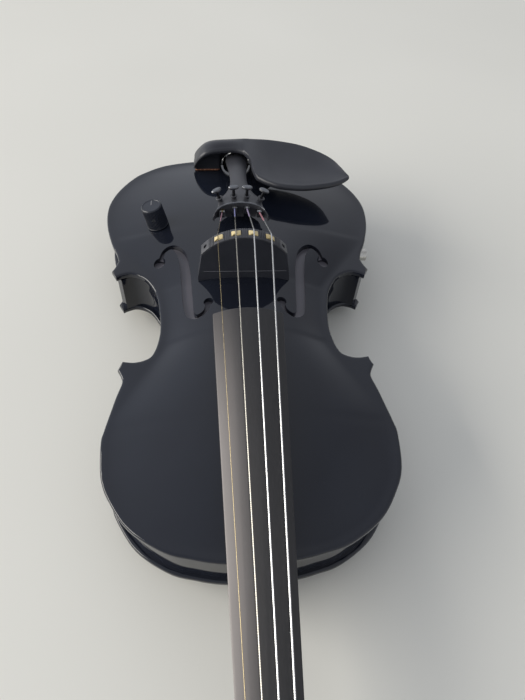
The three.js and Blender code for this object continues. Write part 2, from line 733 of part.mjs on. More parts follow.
// The heel from its tenon to the neck: share of the way, share of the full depth, squareness and
// share of the width at its foot
const HEEL_SHARES = [
  [0, 1, 9, 0.62], [0.42, 1, 8, 0.62], [0.54, 0.93, 7, 0.64],
  [0.64, 0.74, 6, 0.68], [0.76, 0.46, 5, 0.76], [0.88, 0.2, 3.5, 0.88],
];

function heelRing(y, grow) {
  const [, , squareness, footShare] = HEEL_SHARES[0];
  const depth = neckTopAt(y) - CORE_BOTTOM_Z + 2 * grow;
  return neckRing(y, neckTopAt(y) + grow, neckHalfAt(y) + grow, depth, squareness, footShare);
}

// Scroll: a volute that winds in and steps outwards, so that each turn stands proud of the last
const SCROLL_Y = PEGBOX_END_Y - SCROLL_RADIUS / 2;
const SCROLL_Z = cheekTopAt(PEGBOX_END_Y) - PEGBOX_END_DEPTH + SCROLL_RADIUS;
const SCROLL_DECAY = Math.log(SCROLL_RADIUS / SCROLL_EYE_RADIUS) / SCROLL_TURNS;
// Width of the volute against the turn: [turns, share of the eye's half width]
const SCROLL_WIDTH_SHARES = [[0, 0.45], [0.5, 0.29], [1, 0.5], [1.5, 0.72], [2, 0.92], [2.25, 1]];

function scrollHalfAt(turn) {
  const after = Math.max(1, SCROLL_WIDTH_SHARES.findIndex(([t]) => t >= turn));
  const [t0, w0] = SCROLL_WIDTH_SHARES[after - 1];
  const [t1, w1] = SCROLL_WIDTH_SHARES[after];
  const ease = THREE.MathUtils.smoothstep(turn, t0, t1);
  return SCROLL_EYE_HALF * (w0 + (w1 - w0) * ease);
}

// Radial share and depth share of the dished face of each turn
const SCROLL_FACE_SHARES = [[0.28, 1], [0.62, 1], [0.82, 0.75], [0.94, 0]];

function scrollRing(step) {
  const turn = step / SCROLL_STEPS;
  const radius = SCROLL_RADIUS * Math.exp(-SCROLL_DECAY * turn);
  const half = scrollHalfAt(turn);
  const angle = -Math.PI / 2 - 2 * Math.PI * turn;
  const side = (sign) => [
    ...SCROLL_FACE_SHARES.map(([r, d]) => [radius * r, sign * (half - SCROLL_DISH * d)]),
    [radius, sign * (half - SCROLL_DISH / 2)],
  ];
  return [...side(-1), ...side(1).reverse()].map(
    ([r, x]) => new THREE.Vector3(x, SCROLL_Y + r * Math.cos(angle), SCROLL_Z + r * Math.sin(angle)),
  );
}

function scroll() {
  const last = Math.round(SCROLL_STEPS * SCROLL_TURNS);
  const span = SCROLL_STEPS / 4;
  const quarters = [];
  for (let start = 0; start < last; start += span) {
    const rings = [];
    for (let step = start; step <= Math.min(start + span, last); step++) rings.push(scrollRing(step));
    quarters.push(loft(rings));
  }
  const eye = turned(
    [
      [0, -SCROLL_EYE_HALF - SCROLL_DISH],
      [SCROLL_EYE_RADIUS * 0.7, -SCROLL_EYE_HALF - SCROLL_DISH],
      [SCROLL_EYE_RADIUS * 1.3, -SCROLL_EYE_HALF],
      [SCROLL_EYE_RADIUS * 1.3, SCROLL_EYE_HALF],
      [SCROLL_EYE_RADIUS * 0.7, SCROLL_EYE_HALF + SCROLL_DISH],
      [0, SCROLL_EYE_HALF + SCROLL_DISH],
    ],
    "x",
    [0, SCROLL_Y, SCROLL_Z],
    SMALL_SIDES,
  );
  return fusedWith(eye, quarters);
}

const pegPlace = (order) => {
  const y = NUT_Y - PEG_FIRST - PEG_PITCH * order;
  return { y, z: cheekTopAt(y) - PEG_DEPTH };
};

function neckAndScroll() {
  const rings = HEEL_SHARES.map(([along, deep, squareness, footShare]) => {
    const y = HEEL_TENON - (HEEL_TENON + HEEL_REACH) * along;
    const full = neckTopAt(y) - CORE_BOTTOM_Z;
    const depth = NECK_HEEL_DEPTH + (full - NECK_HEEL_DEPTH) * deep;
    return neckRing(y, neckTopAt(y), neckHalfAt(y), depth, squareness, footShare);
  });
  const neckEnd = NUT_Y + PEG_FIRST;
  [0, 0.25, 0.5, 0.75, 1].forEach((share) => {
    const y = -HEEL_REACH + (neckEnd + HEEL_REACH) * share;
    const depth = NECK_HEEL_DEPTH + (NECK_DEPTH - NECK_HEEL_DEPTH) * share;
    rings.push(neckRing(y, neckTopAt(y), neckHalfAt(y), depth, 2.2, 1));
  });
  const nutSeatZ = neckTopAt(NUT_Y);
  const chinY = NUT_Y + NUT_LENGTH;
  rings.push(neckRing(chinY, neckTopAt(chinY), neckHalfAt(chinY), NECK_DEPTH * 1.12, 2.6, 1));
  rings.push(neckRing(NUT_Y, nutSeatZ, BOARD_NUT_HALF, NECK_DEPTH * 1.4, 4, 0.9));
  const seatDepth = PEGBOX_START_DEPTH - cheekTopAt(PEGBOX_START_Y) + nutSeatZ;
  rings.push(neckRing(PEGBOX_START_Y, nutSeatZ, BOARD_NUT_HALF, seatDepth, 7, 0.86));
  const stepY = PEGBOX_START_Y - GLUE_GAP;
  rings.push(neckRing(stepY, cheekTopAt(stepY), BOARD_NUT_HALF, pegboxDepthAt(stepY), 9, 0.86));
  [0.25, 0.5, 0.75, 1].forEach((share) => {
    const y = PEGBOX_START_Y - PEGBOX_LENGTH * share;
    rings.push(neckRing(y, cheekTopAt(y), pegboxHalfAt(y), pegboxDepthAt(y), 9, 0.88));
  });
  const throatZ = SCROLL_Z - SCROLL_EYE_RADIUS;
  rings.push(neckRing(SCROLL_Y, throatZ, scrollHalfAt(0), SCROLL_RADIUS - SCROLL_EYE_RADIUS, 9, 0.9));
  const cavity = (y) => {
    const half = cavityHalfAt(y);
    const floor = cheekTopAt(y) - pegboxDepthAt(y) + PEGBOX_FLOOR;
    return upright(y, [[half, OVERRUN], [-half, OVERRUN], [-half, floor], [half, floor]]);
  };
  const holes = STRING_NAMES.map((_, i) => {
    const place = pegPlace(PEG_ORDER[i]);
    const reach = BOARD_NUT_HALF + OVERRUN;
    return rod(PEG_RADIUS + TURN_GAP, -reach, reach, "x", [0, place.y, place.z]);
  });
  const cavityEnd = PEGBOX_END_Y + PEGBOX_WALL;
  return [loft([cavity(stepY - NUT_RISE), cavity(cavityEnd)]), ...holes].reduce(
    (whole, cut) => whole.subtract(cut),
    loft(rings).add(scroll()),
  );
}

// Places across the strings: treble first
const laneX = (i, spread) => ((i - 1.5) / 3) * spread;
const BRIDGE_CENTRE_Z = BRIDGE_TOP_Z - BRIDGE_ARC;
// Height at x of a circle about the bridge's centre
const bridgeArcAt = (x, radius) => BRIDGE_CENTRE_Z + Math.sqrt(radius ** 2 - x ** 2);
const nutTopAt = (x) => boardTopAt(NUT_Y) - crownDrop(x, BOARD_RADIUS) + NUT_RISE;
const stringNutZ = (i) =>
  nutTopAt(laneX(i, STRING_SPREAD_NUT)) - NUT_GROOVE_DEPTH + STRING_SEAT + STRING_RADII[i];
const stringArc = (i) => BRIDGE_ARC + SADDLE_BLOCK_RISE + STRING_SEAT + STRING_RADII[i];
const stringBridgeZ = (i) => bridgeArcAt(laneX(i, STRING_SPREAD_BRIDGE), stringArc(i));
// The lean of each block, so that its string sits on the middle of its crest
const blockLean = (i) => Math.asin(laneX(i, STRING_SPREAD_BRIDGE) / stringArc(i));

function nut() {
  const foot = neckTopAt(NUT_Y);
  const outline = [
    ...crownedArc(BOARD_NUT_HALF, nutTopAt, 8),
    [-BOARD_NUT_HALF, foot],
    [BOARD_NUT_HALF, foot],
  ];
  const block = loft([upright(NUT_Y - GLUE_GAP, outline), upright(PEGBOX_START_Y, outline)]);
  const grooves = STRING_NAMES.map((_, i) => {
    const x = laneX(i, STRING_SPREAD_NUT);
    const radius = STRING_RADII[i] + STRING_SEAT;
    return rod(radius, -OVERRUN, OVERRUN, "y", [x, NUT_Y, stringNutZ(i)], SMALL_SIDES);
  });
  return grooves.reduce((whole, cut) => whole.subtract(cut), block);
}

// A peg along X: tapering shaft, collar, neck and a flat oval grip with a pin at its end
function peg(order, side) {
  const place = pegPlace(order);
  const half = pegboxHalfAt(place.y);
  const collar = half + PEG_COLLAR_GAP;
  const grip = collar + PEG_COLLAR_RADIUS / 2;
  const end = grip + PEG_HEAD_LENGTH;
  const shaft = turned(
    [
      [0, -half - PEG_TIP_OUT],
      [PEG_RADIUS, -half - PEG_TIP_OUT],
      [PEG_RADIUS, collar - PEG_RADIUS / 2],
      [PEG_COLLAR_RADIUS, collar],
      [PEG_COLLAR_RADIUS, collar + PEG_RADIUS / 2],
      [PEG_RADIUS, grip],
      [PEG_RADIUS * 0.6, grip + PEG_HEAD_LENGTH / 2],
      [PEG_RADIUS * 0.6, end + PEG_RADIUS * 0.5],
      [PEG_RADIUS * 0.3, end + PEG_RADIUS * 0.9],
      [0, end + PEG_RADIUS * 0.9],
    ],
    "x",
    [0, 0, 0],
  );
  const oval = new THREE.Shape().absellipse(0, 0, PEG_HEAD_LENGTH / 2, PEG_HEAD_HALF, 0, 2 * Math.PI);
  const bevel = PEG_HEAD_THICKNESS / 4;
  const plate = new THREE.ExtrudeGeometry(oval, {
    depth: PEG_HEAD_THICKNESS - 2 * bevel,
    bevelSize: bevel,
    bevelThickness: bevel,
    bevelOffset: -bevel,
    bevelSegments: 1,
    curveSegments: GRIP_STEPS,
  });
  plate.translate(grip + PEG_HEAD_LENGTH / 2, 0, bevel - PEG_HEAD_THICKNESS / 2);
  const whole = shaft.add(solidFrom(plate));
  const placed = side < 0 ? whole.rotate([0, 0, 180]) : whole;
  return placed.translate([0, place.y, place.z]);
}

// Tail end: deck line of the tailpiece, its front edge and the places of tuners and ball ends
const deckAt = (y) => TAILPIECE_TOP_Z - (TAILPIECE_DROP * (y - TAILPIECE_Y)) / TAILPIECE_LENGTH;
const deckDrop = (x, half) => TAILPIECE_CROWN * Math.abs(x / half) ** 2;
const frontAt = (x) => {
  const left = Math.max(0, 1 - (x / TAILPIECE_MOUTH_HALF) ** 4);
  return TAILPIECE_Y + FRET_WIDTH - TAILPIECE_FLARE * (1 - Math.sqrt(left));
};
const deckTopAt = (x, y) => deckAt(y) - deckDrop(x, TAILPIECE_HALF);

function ballPlace(i) {
  const x = laneX(i, STRING_SPREAD_TAIL);
  const y = frontAt(Math.abs(x) + LEVER_WIDTH / 2);
  return { x, y, z: deckTopAt(x, y) - TAILPIECE_SHELL - BALL_RADIUS - STRING_SEAT };
}

// A wire of a few flat sides along points, with its sections carried along without twist
function wire(points, radius, sides = WIRE_SIDES) {
  const directions = points.map((p, i) => {
    const before = points[Math.max(0, i - 1)];
    const after = points[Math.min(points.length - 1, i + 1)];
    return after.clone().sub(before).normalize();
  });
  let normal = new THREE.Vector3(0, 0, 1);
  const rings = points.map((p, i) => {
    normal = normal.clone().addScaledVector(directions[i], -normal.dot(directions[i])).normalize();
    const binormal = directions[i].clone().cross(normal);
    const ring = [];
    for (let k = 0; k < sides; k++) {
      const angle = (2 * Math.PI * k) / sides;
      ring.push(
        p.clone()
          .addScaledVector(normal, radius * Math.cos(angle))
          .addScaledVector(binormal, radius * Math.sin(angle)),
      );
    }
    return ring;
  });
  return loft(rings);
}

function stringRoute(i) {
  const radius = STRING_RADII[i];
  const ball = ballPlace(i);
  const bridgeX = laneX(i, STRING_SPREAD_BRIDGE);
  const nutX = laneX(i, STRING_SPREAD_NUT);
  const bridgeZ = stringBridgeZ(i);
  const overBlock = SADDLE_BLOCK_LENGTH / 2 + GLUE_GAP;
  const nutZ = stringNutZ(i);
  const nutBack = PEGBOX_START_Y - STRING_SEAT;
  const place = pegPlace(PEG_ORDER[i]);
  const winding = PEG_RADIUS + WINDING_GAP + radius;
  const away = Math.hypot(nutBack - place.y, nutZ - place.z);
  const towards = Math.atan2(nutZ - place.z, nutBack - place.y);
  const first = towards + Math.acos(winding / away);
  const pitch = 2 * radius + WINDING_SPACE;
  const side = PEG_SIDES[i];
  const lastX = side * (cavityHalfAt(place.y) - radius - WINDING_SPACE);
  const firstX = lastX - side * pitch * WINDING_TURNS;
  const coil = [];
  for (let step = 0; step <= WINDING_TURNS * WINDING_STEPS; step++) {
    const turn = step / WINDING_STEPS;
    const angle = first + 2 * Math.PI * turn;
    coil.push(
      new THREE.Vector3(
        firstX + side * pitch * turn,
        place.y + winding * Math.cos(angle),
        place.z + winding * Math.sin(angle),
      ),
    );
  }
  const straight = [
    [ball.x, ball.y, ball.z],
    [bridgeX, BRIDGE_Y + overBlock, bridgeZ],
    [bridgeX, BRIDGE_Y - overBlock, bridgeZ],
    [nutX, NUT_Y, nutZ],
    [nutX, nutBack, nutZ],
  ].map((p) => new THREE.Vector3(...p));
  return { straight, coil, radius };
}

// The least gap between one turn of a winding and another, measured between its points
function leastCoilGap({ coil, radius }) {
  let least = Infinity;
  for (let a = 0; a < coil.length; a++) {
    for (let b = a + WINDING_STEPS / 2; b < coil.length; b++) {
      least = Math.min(least, coil[a].distanceTo(coil[b]) - 2 * radius);
    }
  }
  return least;
}

function violinString(i) {
  const route = stringRoute(i);
  console.log(`string ${STRING_NAMES[i]}: least gap between turns ${leastCoilGap(route).toFixed(2)} mm`);
  const ball = ballPlace(i);
  const end = rod(BALL_RADIUS, -BALL_RADIUS, BALL_RADIUS, "x", [ball.x, ball.y, ball.z], SMALL_SIDES);
  return wire([...route.straight, ...route.coil], route.radius).add(end);
}

// Sets a solid that was made about the crest's radius at the bridge, leaning by an angle
const onBridge = (solid, angle) =>
  solid.rotate([0, (angle * 180) / Math.PI, 0]).translate([0, BRIDGE_Y, BRIDGE_CENTRE_Z]);

const capScrewHoles = [-1, 1].map((side) =>
  onBridge(
    rod(CAP_SCREW_RADIUS, BRIDGE_ARC - CAP_SCREW_LENGTH, BRIDGE_ARC + OVERRUN, "z", [0, 0, 0], SMALL_SIDES),
    side * Math.asin(CAP_SCREW_X / BRIDGE_ARC),
  ),
);

// Bridge: a thick block that follows the top, with a cap that holds one block under each string
function bridgeBody(topSolid) {
  const seat = BRIDGE_ARC - BRIDGE_CAP - GLUE_GAP;
  const outline = [
    ...crownedArc(BRIDGE_TOP_HALF, (x) => bridgeArcAt(x, seat), 14),
    [-BRIDGE_FOOT_HALF, BRIDGE_FOOT_Z],
    [-BRIDGE_FOOT_HALF, 0],
    [BRIDGE_FOOT_HALF, 0],
    [BRIDGE_FOOT_HALF, BRIDGE_FOOT_Z],
  ];
  const half = BRIDGE_THICKNESS / 2;
  const body = prismAcross(outline, BRIDGE_Y - half, BRIDGE_Y + half);
  const seam = box(
    [3 * BRIDGE_FOOT_HALF, 2 * BRIDGE_SEAM, BRIDGE_SEAM],
    [0, BRIDGE_Y - half, BRIDGE_SEAM_Z],
  );
  const cuts = [topSolid.translate([0, 0, GLUE_GAP]), seam, ...capScrewHoles];
  return cuts.reduce((whole, cut) => whole.subtract(cut), body);
}

function bridgeCap() {
  const outline = [
    ...crownedArc(BRIDGE_TOP_HALF, (x) => bridgeArcAt(x, BRIDGE_ARC), 16),
    ...crownedArc(BRIDGE_TOP_HALF, (x) => bridgeArcAt(x, BRIDGE_ARC - BRIDGE_CAP), 16).reverse(),
  ];
  const half = BRIDGE_THICKNESS / 2;
  const cap = prismAcross(outline, BRIDGE_Y - half, BRIDGE_Y + half);
  const windows = STRING_NAMES.map((_, i) => {
    const size = [SADDLE_BLOCK_WIDTH + SEAT_GAP, SADDLE_BLOCK_LENGTH + SEAT_GAP, OVERRUN];
    return onBridge(box(size, [0, 0, BRIDGE_ARC]), blockLean(i));
  });
  return [...windows, ...capScrewHoles].reduce((whole, cut) => whole.subtract(cut), cap);
}

// An outline in X and Z carried along Y
function prismAcross(outline, fromY, toY) {
  const shape = new THREE.Shape(outline.map(([x, z]) => new THREE.Vector2(x, z)));
  const geometry = new THREE.ExtrudeGeometry(shape, { depth: toY - fromY, bevelEnabled: false });
  return solidFrom(geometry.applyMatrix4(AXIS_TURN.z).translate(0, toY, 0));
}

// An outline in Y and Z carried along X
function prismAlong(outline, fromX, toX) {
  const shape = new THREE.Shape(outline.map(([y, z]) => new THREE.Vector2(y, z)));
  const geometry = new THREE.ExtrudeGeometry(shape, { depth: toX - fromX, bevelEnabled: false });
  const turn = new THREE.Matrix4().makeBasis(
    new THREE.Vector3(0, 1, 0),
    new THREE.Vector3(0, 0, 1),
    new THREE.Vector3(1, 0, 0),
  );
  return solidFrom(geometry.applyMatrix4(turn).translate(fromX, 0, 0));
}

// A block that stands on the bridge through its window in the cap, with a crest for the string
function saddleBlock(i) {
  const half = SADDLE_BLOCK_WIDTH / 2 - SEAT_GAP / 2;
  const bottom = BRIDGE_ARC - BRIDGE_CAP;
  const top = BRIDGE_ARC + SADDLE_BLOCK_RISE;
  const crest = STRING_RADII[3];
  const shoulder = top - SADDLE_BLOCK_RISE * 0.7;
  const outline = [
    [-half, bottom], [half, bottom], [half, shoulder], [crest, top], [-crest, top], [-half, shoulder],
  ];
  const reach = SADDLE_BLOCK_LENGTH / 2;
  return onBridge(prismAcross(outline, -reach, reach), blockLean(i));
}

// Tailpiece stations from the front tips: distance share, width share, crown share, depth share
const TAILPIECE_SHARES = [
  [-0.09, 1.02, 1.04, 1], [-0.045, 0.985, 0.97, 1], [0, 0.9, 0.81, 1], [0.0435, 0.845, 0.714, 1],
  [0.098, 0.825, 0.681, 1], [0.152, 0.78, 0.608, 0.95], [0.217, 0.56, 0.45, 0.84],
  [0.326, 0.39, 0.38, 0.68], [0.4565, 0.325, 0.34, 0.58], [0.598, 0.335, 0.34, 0.6],
  [0.696, 0.37, 0.38, 0.66], [0.793, 0.42, 0.42, 0.68], [0.891, 0.45, 0.44, 0.68],
  [0.95, 0.42, 0.42, 0.64], [0.985, 0.3, 0.38, 0.56], [1, 0.14, 0.33, 0.5],
];

function tailpieceRing([along, wide, crown, deep]) {
  const y = TAILPIECE_Y + TAILPIECE_LENGTH * along;
  const half = TAILPIECE_HALF * wide;
  const drop = TAILPIECE_CROWN * crown;
  const top = deckAt(y);
  const depth = TAILPIECE_DEPTH * deep;
  const side = top - drop - Math.max(0, depth - drop) * 0.45;
  const points = [
    ...crownedArc(half * 0.95, (x) => top - drop * (x / half) ** 2, 8),
    [-half, side],
    [-half * 0.8, top - depth],
    [half * 0.8, top - depth],
    [half, side],
  ];
  return upright(y, points);
}

// The outer stems lean outwards and the inner ones hardly at all
const tunerTilt = (i) => {
  const share = laneX(i, STRING_SPREAD_TAIL) / laneX(3, STRING_SPREAD_TAIL);
  return TUNER_SPLAY * share * Math.abs(share);
};
const AXLE_Z = deckAt(AXLE_Y) - TAILPIECE_DEPTH + AXLE_HEIGHT;
// The point where a tuner's stem meets its lever, and the way the stem leans
function tunerPlace(i) {
  const tilt = tunerTilt(i);
  return {
    foot: new THREE.Vector3(
      laneX(i, STRING_SPREAD_TAIL), TUNER_Y, AXLE_Z + LEVER_THICKNESS / 2 + SEAT_GAP,
    ),
    lean: new THREE.Vector3(Math.sin(tilt), 0, Math.cos(tilt)),
    tilt,
  };
}

// A solid of revolution that stands on a tuner's foot and leans with its stem
function onTuner(i, profile, sides = SMALL_SIDES) {
  const { foot, tilt } = tunerPlace(i);
  return turned(profile, "z", [0, 0, 0], sides)
    .rotate([0, (tilt * 180) / Math.PI, 0])
    .translate(foot.toArray());
}

// Distance along the stem from its foot to the deck above it
const stemToDeck = (i) => {
  const { foot, lean } = tunerPlace(i);
  return (deckTopAt(foot.x, TUNER_Y) - foot.z) / lean.z;
};

function tailpiece() {
  const shell = loft(TAILPIECE_SHARES.map((station) => tailpieceRing(station)));
  const frontXs = [];
  for (let i = 0; i <= ROUND_SIDES; i++) {
    frontXs.push(TAILPIECE_MOUTH_HALF * Math.sin((Math.PI / 2) * (1 - (2 * i) / ROUND_SIDES)));
  }
  const outOfFront = TAILPIECE_Y - 2 * TAILPIECE_FLARE;
  const frontShape = [
    ...frontXs.map((x) => new THREE.Vector2(x, frontAt(x))),
    new THREE.Vector2(-TAILPIECE_MOUTH_HALF, outOfFront),
    new THREE.Vector2(TAILPIECE_MOUTH_HALF, outOfFront),
  ];
  const front = prism(frontShape, TAILPIECE_TOP_Z * 2, 0);
  const fret = loft(
    frontXs.filter((x) => Math.abs(x) < TAILPIECE_HALF * FRET_SPAN_SHARE).map((x) => {
      const start = frontAt(x);
      const deck = deckTopAt(x, start);
      return [[0, -1], [FRET_WIDTH, -1], [FRET_WIDTH * 0.8, 1], [FRET_WIDTH * 0.2, 1]].map(
        ([along, up]) => new THREE.Vector3(x, start + along, deck + up * FRET_RISE),
      );
    }),
  );
  const lanes = STRING_NAMES.map((_, i) => {
    const x = laneX(i, STRING_SPREAD_TAIL);
    const width = LEVER_WIDTH + 2 * LEVER_SIDE_GAP;
    const length = TAILPIECE_POCKET + TAILPIECE_FLARE;
    const height = TAILPIECE_DEPTH * 2;
    const top = deckTopAt(x, TAILPIECE_Y) - TAILPIECE_SHELL;
    const middle = TAILPIECE_Y - TAILPIECE_FLARE + length / 2;
    const slope = Math.atan(TAILPIECE_DROP / TAILPIECE_LENGTH);
    return box([width, length, height], [0, 0, -height / 2])
      .rotate([(-slope * 180) / Math.PI, 0, 0])
      .translate([x, middle, top - TAILPIECE_DROP * (middle - TAILPIECE_Y) / TAILPIECE_LENGTH]);
  });
  const through = TAILPIECE_HALF * 2;
  const axle = rod(
    AXLE_RADIUS + GLUE_GAP, -through, through, "x", [0, AXLE_Y, AXLE_Z], SMALL_SIDES,
  );
  const bosses = STRING_NAMES.map((_, i) => {
    const deck = stemToDeck(i);
    return onTuner(i, [
      [0, deck - TAILPIECE_SHELL],
      [TUNER_BOSS_RADIUS * 0.7, deck - TAILPIECE_SHELL],
      [TUNER_BOSS_RADIUS * 0.7, deck + TUNER_BOSS_RISE * 0.4],
      [TUNER_BOSS_RADIUS, deck + TUNER_BOSS_RISE * 0.7],
      [TUNER_BOSS_RADIUS, deck + TUNER_BOSS_RISE],
      [0, deck + TUNER_BOSS_RISE],
    ]);
  });
  const stems = STRING_NAMES.map((_, i) =>
    onTuner(i, [
      [0, 0],
      [TUNER_STEM_RADIUS + TURN_GAP, 0],
      [TUNER_STEM_RADIUS + TURN_GAP, TUNER_STEM_LENGTH * 2],
      [0, TUNER_STEM_LENGTH * 2],
    ]),
  );
  const gutHoles = [-1, 1].map((side) => {
    const mouth = [(side * TAILGUT_SPREAD) / 2, TAILPIECE_END_Y, GUT_Z];
    return rod(TAILGUT_RADIUS + STRING_SEAT, -GUT_HOLE_DEPTH, OVERRUN, "y", mouth, SMALL_SIDES);
  });
  return [front, ...lanes, axle, ...stems, ...gutHoles].reduce(
    (whole, cut) => whole.subtract(cut),
    fusedWith(shell, [fret, ...bosses]),
  );
}

// Each lever: a forked plate in front of the ball end, an arm back to the axle and on under the screw
function lever(i) {
  const ball = ballPlace(i);
  const width = LEVER_WIDTH;
  const forkY = ball.y - BALL_RADIUS - STRING_SEAT;
  const under = ball.z - BALL_RADIUS - LEVER_BALL_GAP;
  const hub = LEVER_HUB_RADIUS;
  const end = TUNER_Y + TUNER_STEM_RADIUS + LEVER_THICKNESS / 2;
  const arm = LEVER_THICKNESS / 2;
  const outline = [
    [forkY - LEVER_THICKNESS, ball.z + LEVER_FORK_RISE],
    [forkY - LEVER_THICKNESS, under - LEVER_THICKNESS * 0.6],
    [AXLE_Y - hub, AXLE_Z - hub * 0.8],
    [AXLE_Y + hub, AXLE_Z - hub * 0.8],
    [end, AXLE_Z - arm],
    [end, AXLE_Z + arm],
    [AXLE_Y + hub, AXLE_Z + arm],
    [AXLE_Y + hub * 0.4, AXLE_Z + hub],
    [AXLE_Y - hub * 0.6, AXLE_Z + hub],
    [forkY, under],
    [forkY, ball.z + LEVER_FORK_RISE],
  ];
  const whole = prismAlong(outline, ball.x - width / 2, ball.x + width / 2);
  const bore = rod(AXLE_RADIUS + TURN_GAP, -width, width, "x", [ball.x, AXLE_Y, AXLE_Z], SMALL_SIDES);
  const slotHeight = BALL_RADIUS * 3;
  const slot = box(
    [LEVER_FORK_GAP, LEVER_THICKNESS * 3, slotHeight],
    [ball.x, forkY - LEVER_THICKNESS / 2, ball.z - LEVER_FORK_GAP / 2 + slotHeight / 2],
  );
  return whole.subtract(bore).subtract(slot);
}

function tunerAxle() {
  const reach = TAILPIECE_HALF * 0.86;
  return rod(AXLE_RADIUS, -reach, reach, "x", [0, AXLE_Y, AXLE_Z], SMALL_SIDES);
}

function tunerStem(i) {
  const tip = TUNER_STEM_RADIUS * 0.6;
  const length = stemToDeck(i) + TUNER_HEAD_RISE;
  const radius = TUNER_STEM_RADIUS;
  return onTuner(i, [[0, 0], [tip, 0], [radius, tip], [radius, length], [0, length]]);
}

function tunerHead(i) {
  const { foot, tilt } = tunerPlace(i);
  const start = stemToDeck(i) + TUNER_HEAD_RISE + GLUE_GAP;
  const bevel = TUNER_HEAD_THICK / 4;
  const oval = new THREE.Shape().absellipse(0, 0, TUNER_HEAD_HALF, TUNER_HEAD_WIDE, 0, 2 * Math.PI);
  const disc = new THREE.ExtrudeGeometry(oval, {
    depth: TUNER_HEAD_THICK - 2 * bevel,
    bevelSize: bevel,
    bevelThickness: bevel,
    bevelOffset: -bevel,
    bevelSegments: 1,
    curveSegments: SMALL_SIDES / 2,
  });
  disc.translate(0, 0, bevel).rotateZ(TUNER_TURNS[i]);
  return solidFrom(disc)
    .translate([0, 0, start])
    .rotate([0, (tilt * 180) / Math.PI, 0])
    .translate(foot.toArray());
}

// The gut runs from one side of the tailpiece over the saddle, round the endpin and back
function tailgut() {
  const half = TAILGUT_SPREAD / 2;
  const loop = ENDPIN_RADIUS + TAILGUT_RADIUS + STRING_SEAT;
  const overSaddle = SADDLE_RISE + TAILGUT_RADIUS + STRING_SEAT;
  const side = [
    [half, TAILPIECE_END_Y - GUT_HOLE_DEPTH * 0.8, GUT_Z],
    [half, TAILPIECE_END_Y, GUT_Z],
    [half, BODY_LENGTH - SADDLE_LENGTH, overSaddle],
    [half, BODY_LENGTH, overSaddle],
    [half, GUT_DROP_Y, overSaddle - SADDLE_LENGTH / 2],
    [loop, GUT_DROP_Y, ENDPIN_Z + loop],
  ].map((p) => new THREE.Vector3(...p));
  const under = [];
  const steps = SMALL_SIDES / 2;
  for (let i = 0; i <= steps; i++) {
    const angle = (Math.PI * i) / steps;
    under.push(
      new THREE.Vector3(loop * Math.cos(angle), GUT_DROP_Y, ENDPIN_Z - loop * Math.sin(angle)),
    );
  }
  const back = side.map((p) => new THREE.Vector3(-p.x, p.y, p.z)).reverse();
  return wire([...side, ...under, ...back], TAILGUT_RADIUS, SMALL_SIDES / 2);
}

function endpin() {
  const rib = BODY_LENGTH - RIB_INSET + SEAT_GAP;
  const groove = TAILGUT_RADIUS + STRING_SEAT * 2;
  const lip = ENDPIN_HEAD_RADIUS * 0.8;
  return turned(
    [
      [0, rib - ENDPIN_LENGTH],
      [ENDPIN_RADIUS, rib - ENDPIN_LENGTH],
      [ENDPIN_RADIUS, rib],
      [lip, rib],
      [lip, GUT_DROP_Y - groove],
      [ENDPIN_RADIUS, GUT_DROP_Y - groove],
      [ENDPIN_RADIUS, GUT_DROP_Y + groove],
      [ENDPIN_HEAD_RADIUS, GUT_DROP_Y + groove + TAILGUT_RADIUS],
      [ENDPIN_HEAD_RADIUS, rib + ENDPIN_HEAD_LENGTH * 0.8],
      [ENDPIN_HEAD_RADIUS * 0.7, rib + ENDPIN_HEAD_LENGTH],
      [0, rib + ENDPIN_HEAD_LENGTH],
    ],
    "y",
    [0, 0, ENDPIN_Z],
  );
}

function tailSaddle() {
  const start = BODY_LENGTH - SADDLE_LENGTH;
  const outline = [
    [start, CORE_TOP_Z],
    [BODY_LENGTH + GLUE_GAP, CORE_TOP_Z],
    [BODY_LENGTH + GLUE_GAP, SADDLE_RISE * 0.8],
    [BODY_LENGTH - SADDLE_LENGTH * 0.15, SADDLE_RISE],
    [start + SADDLE_LENGTH * 0.4, SADDLE_RISE],
    [start, SADDLE_RISE * 0.45],
  ];
  return prismAlong(outline, -SADDLE_HALF, SADDLE_HALF);
}

// Sound-hole grooves: share of the half span, share of the length, share of the full width
const F_HOLE_SHARES = [
  [0.403, 0.169, 0.5], [0.436, 0.06, 0.45], [0.53, 0.014, 0.5], [0.605, 0.075, 0.75],
  [0.632, 0.211, 0.95], [0.656, 0.451, 1], [0.68, 0.69, 0.95], [0.724, 0.873, 0.85],
  [0.824, 0.985, 0.55], [0.93, 0.955, 0.45], [0.985, 0.825, 0.4],
];

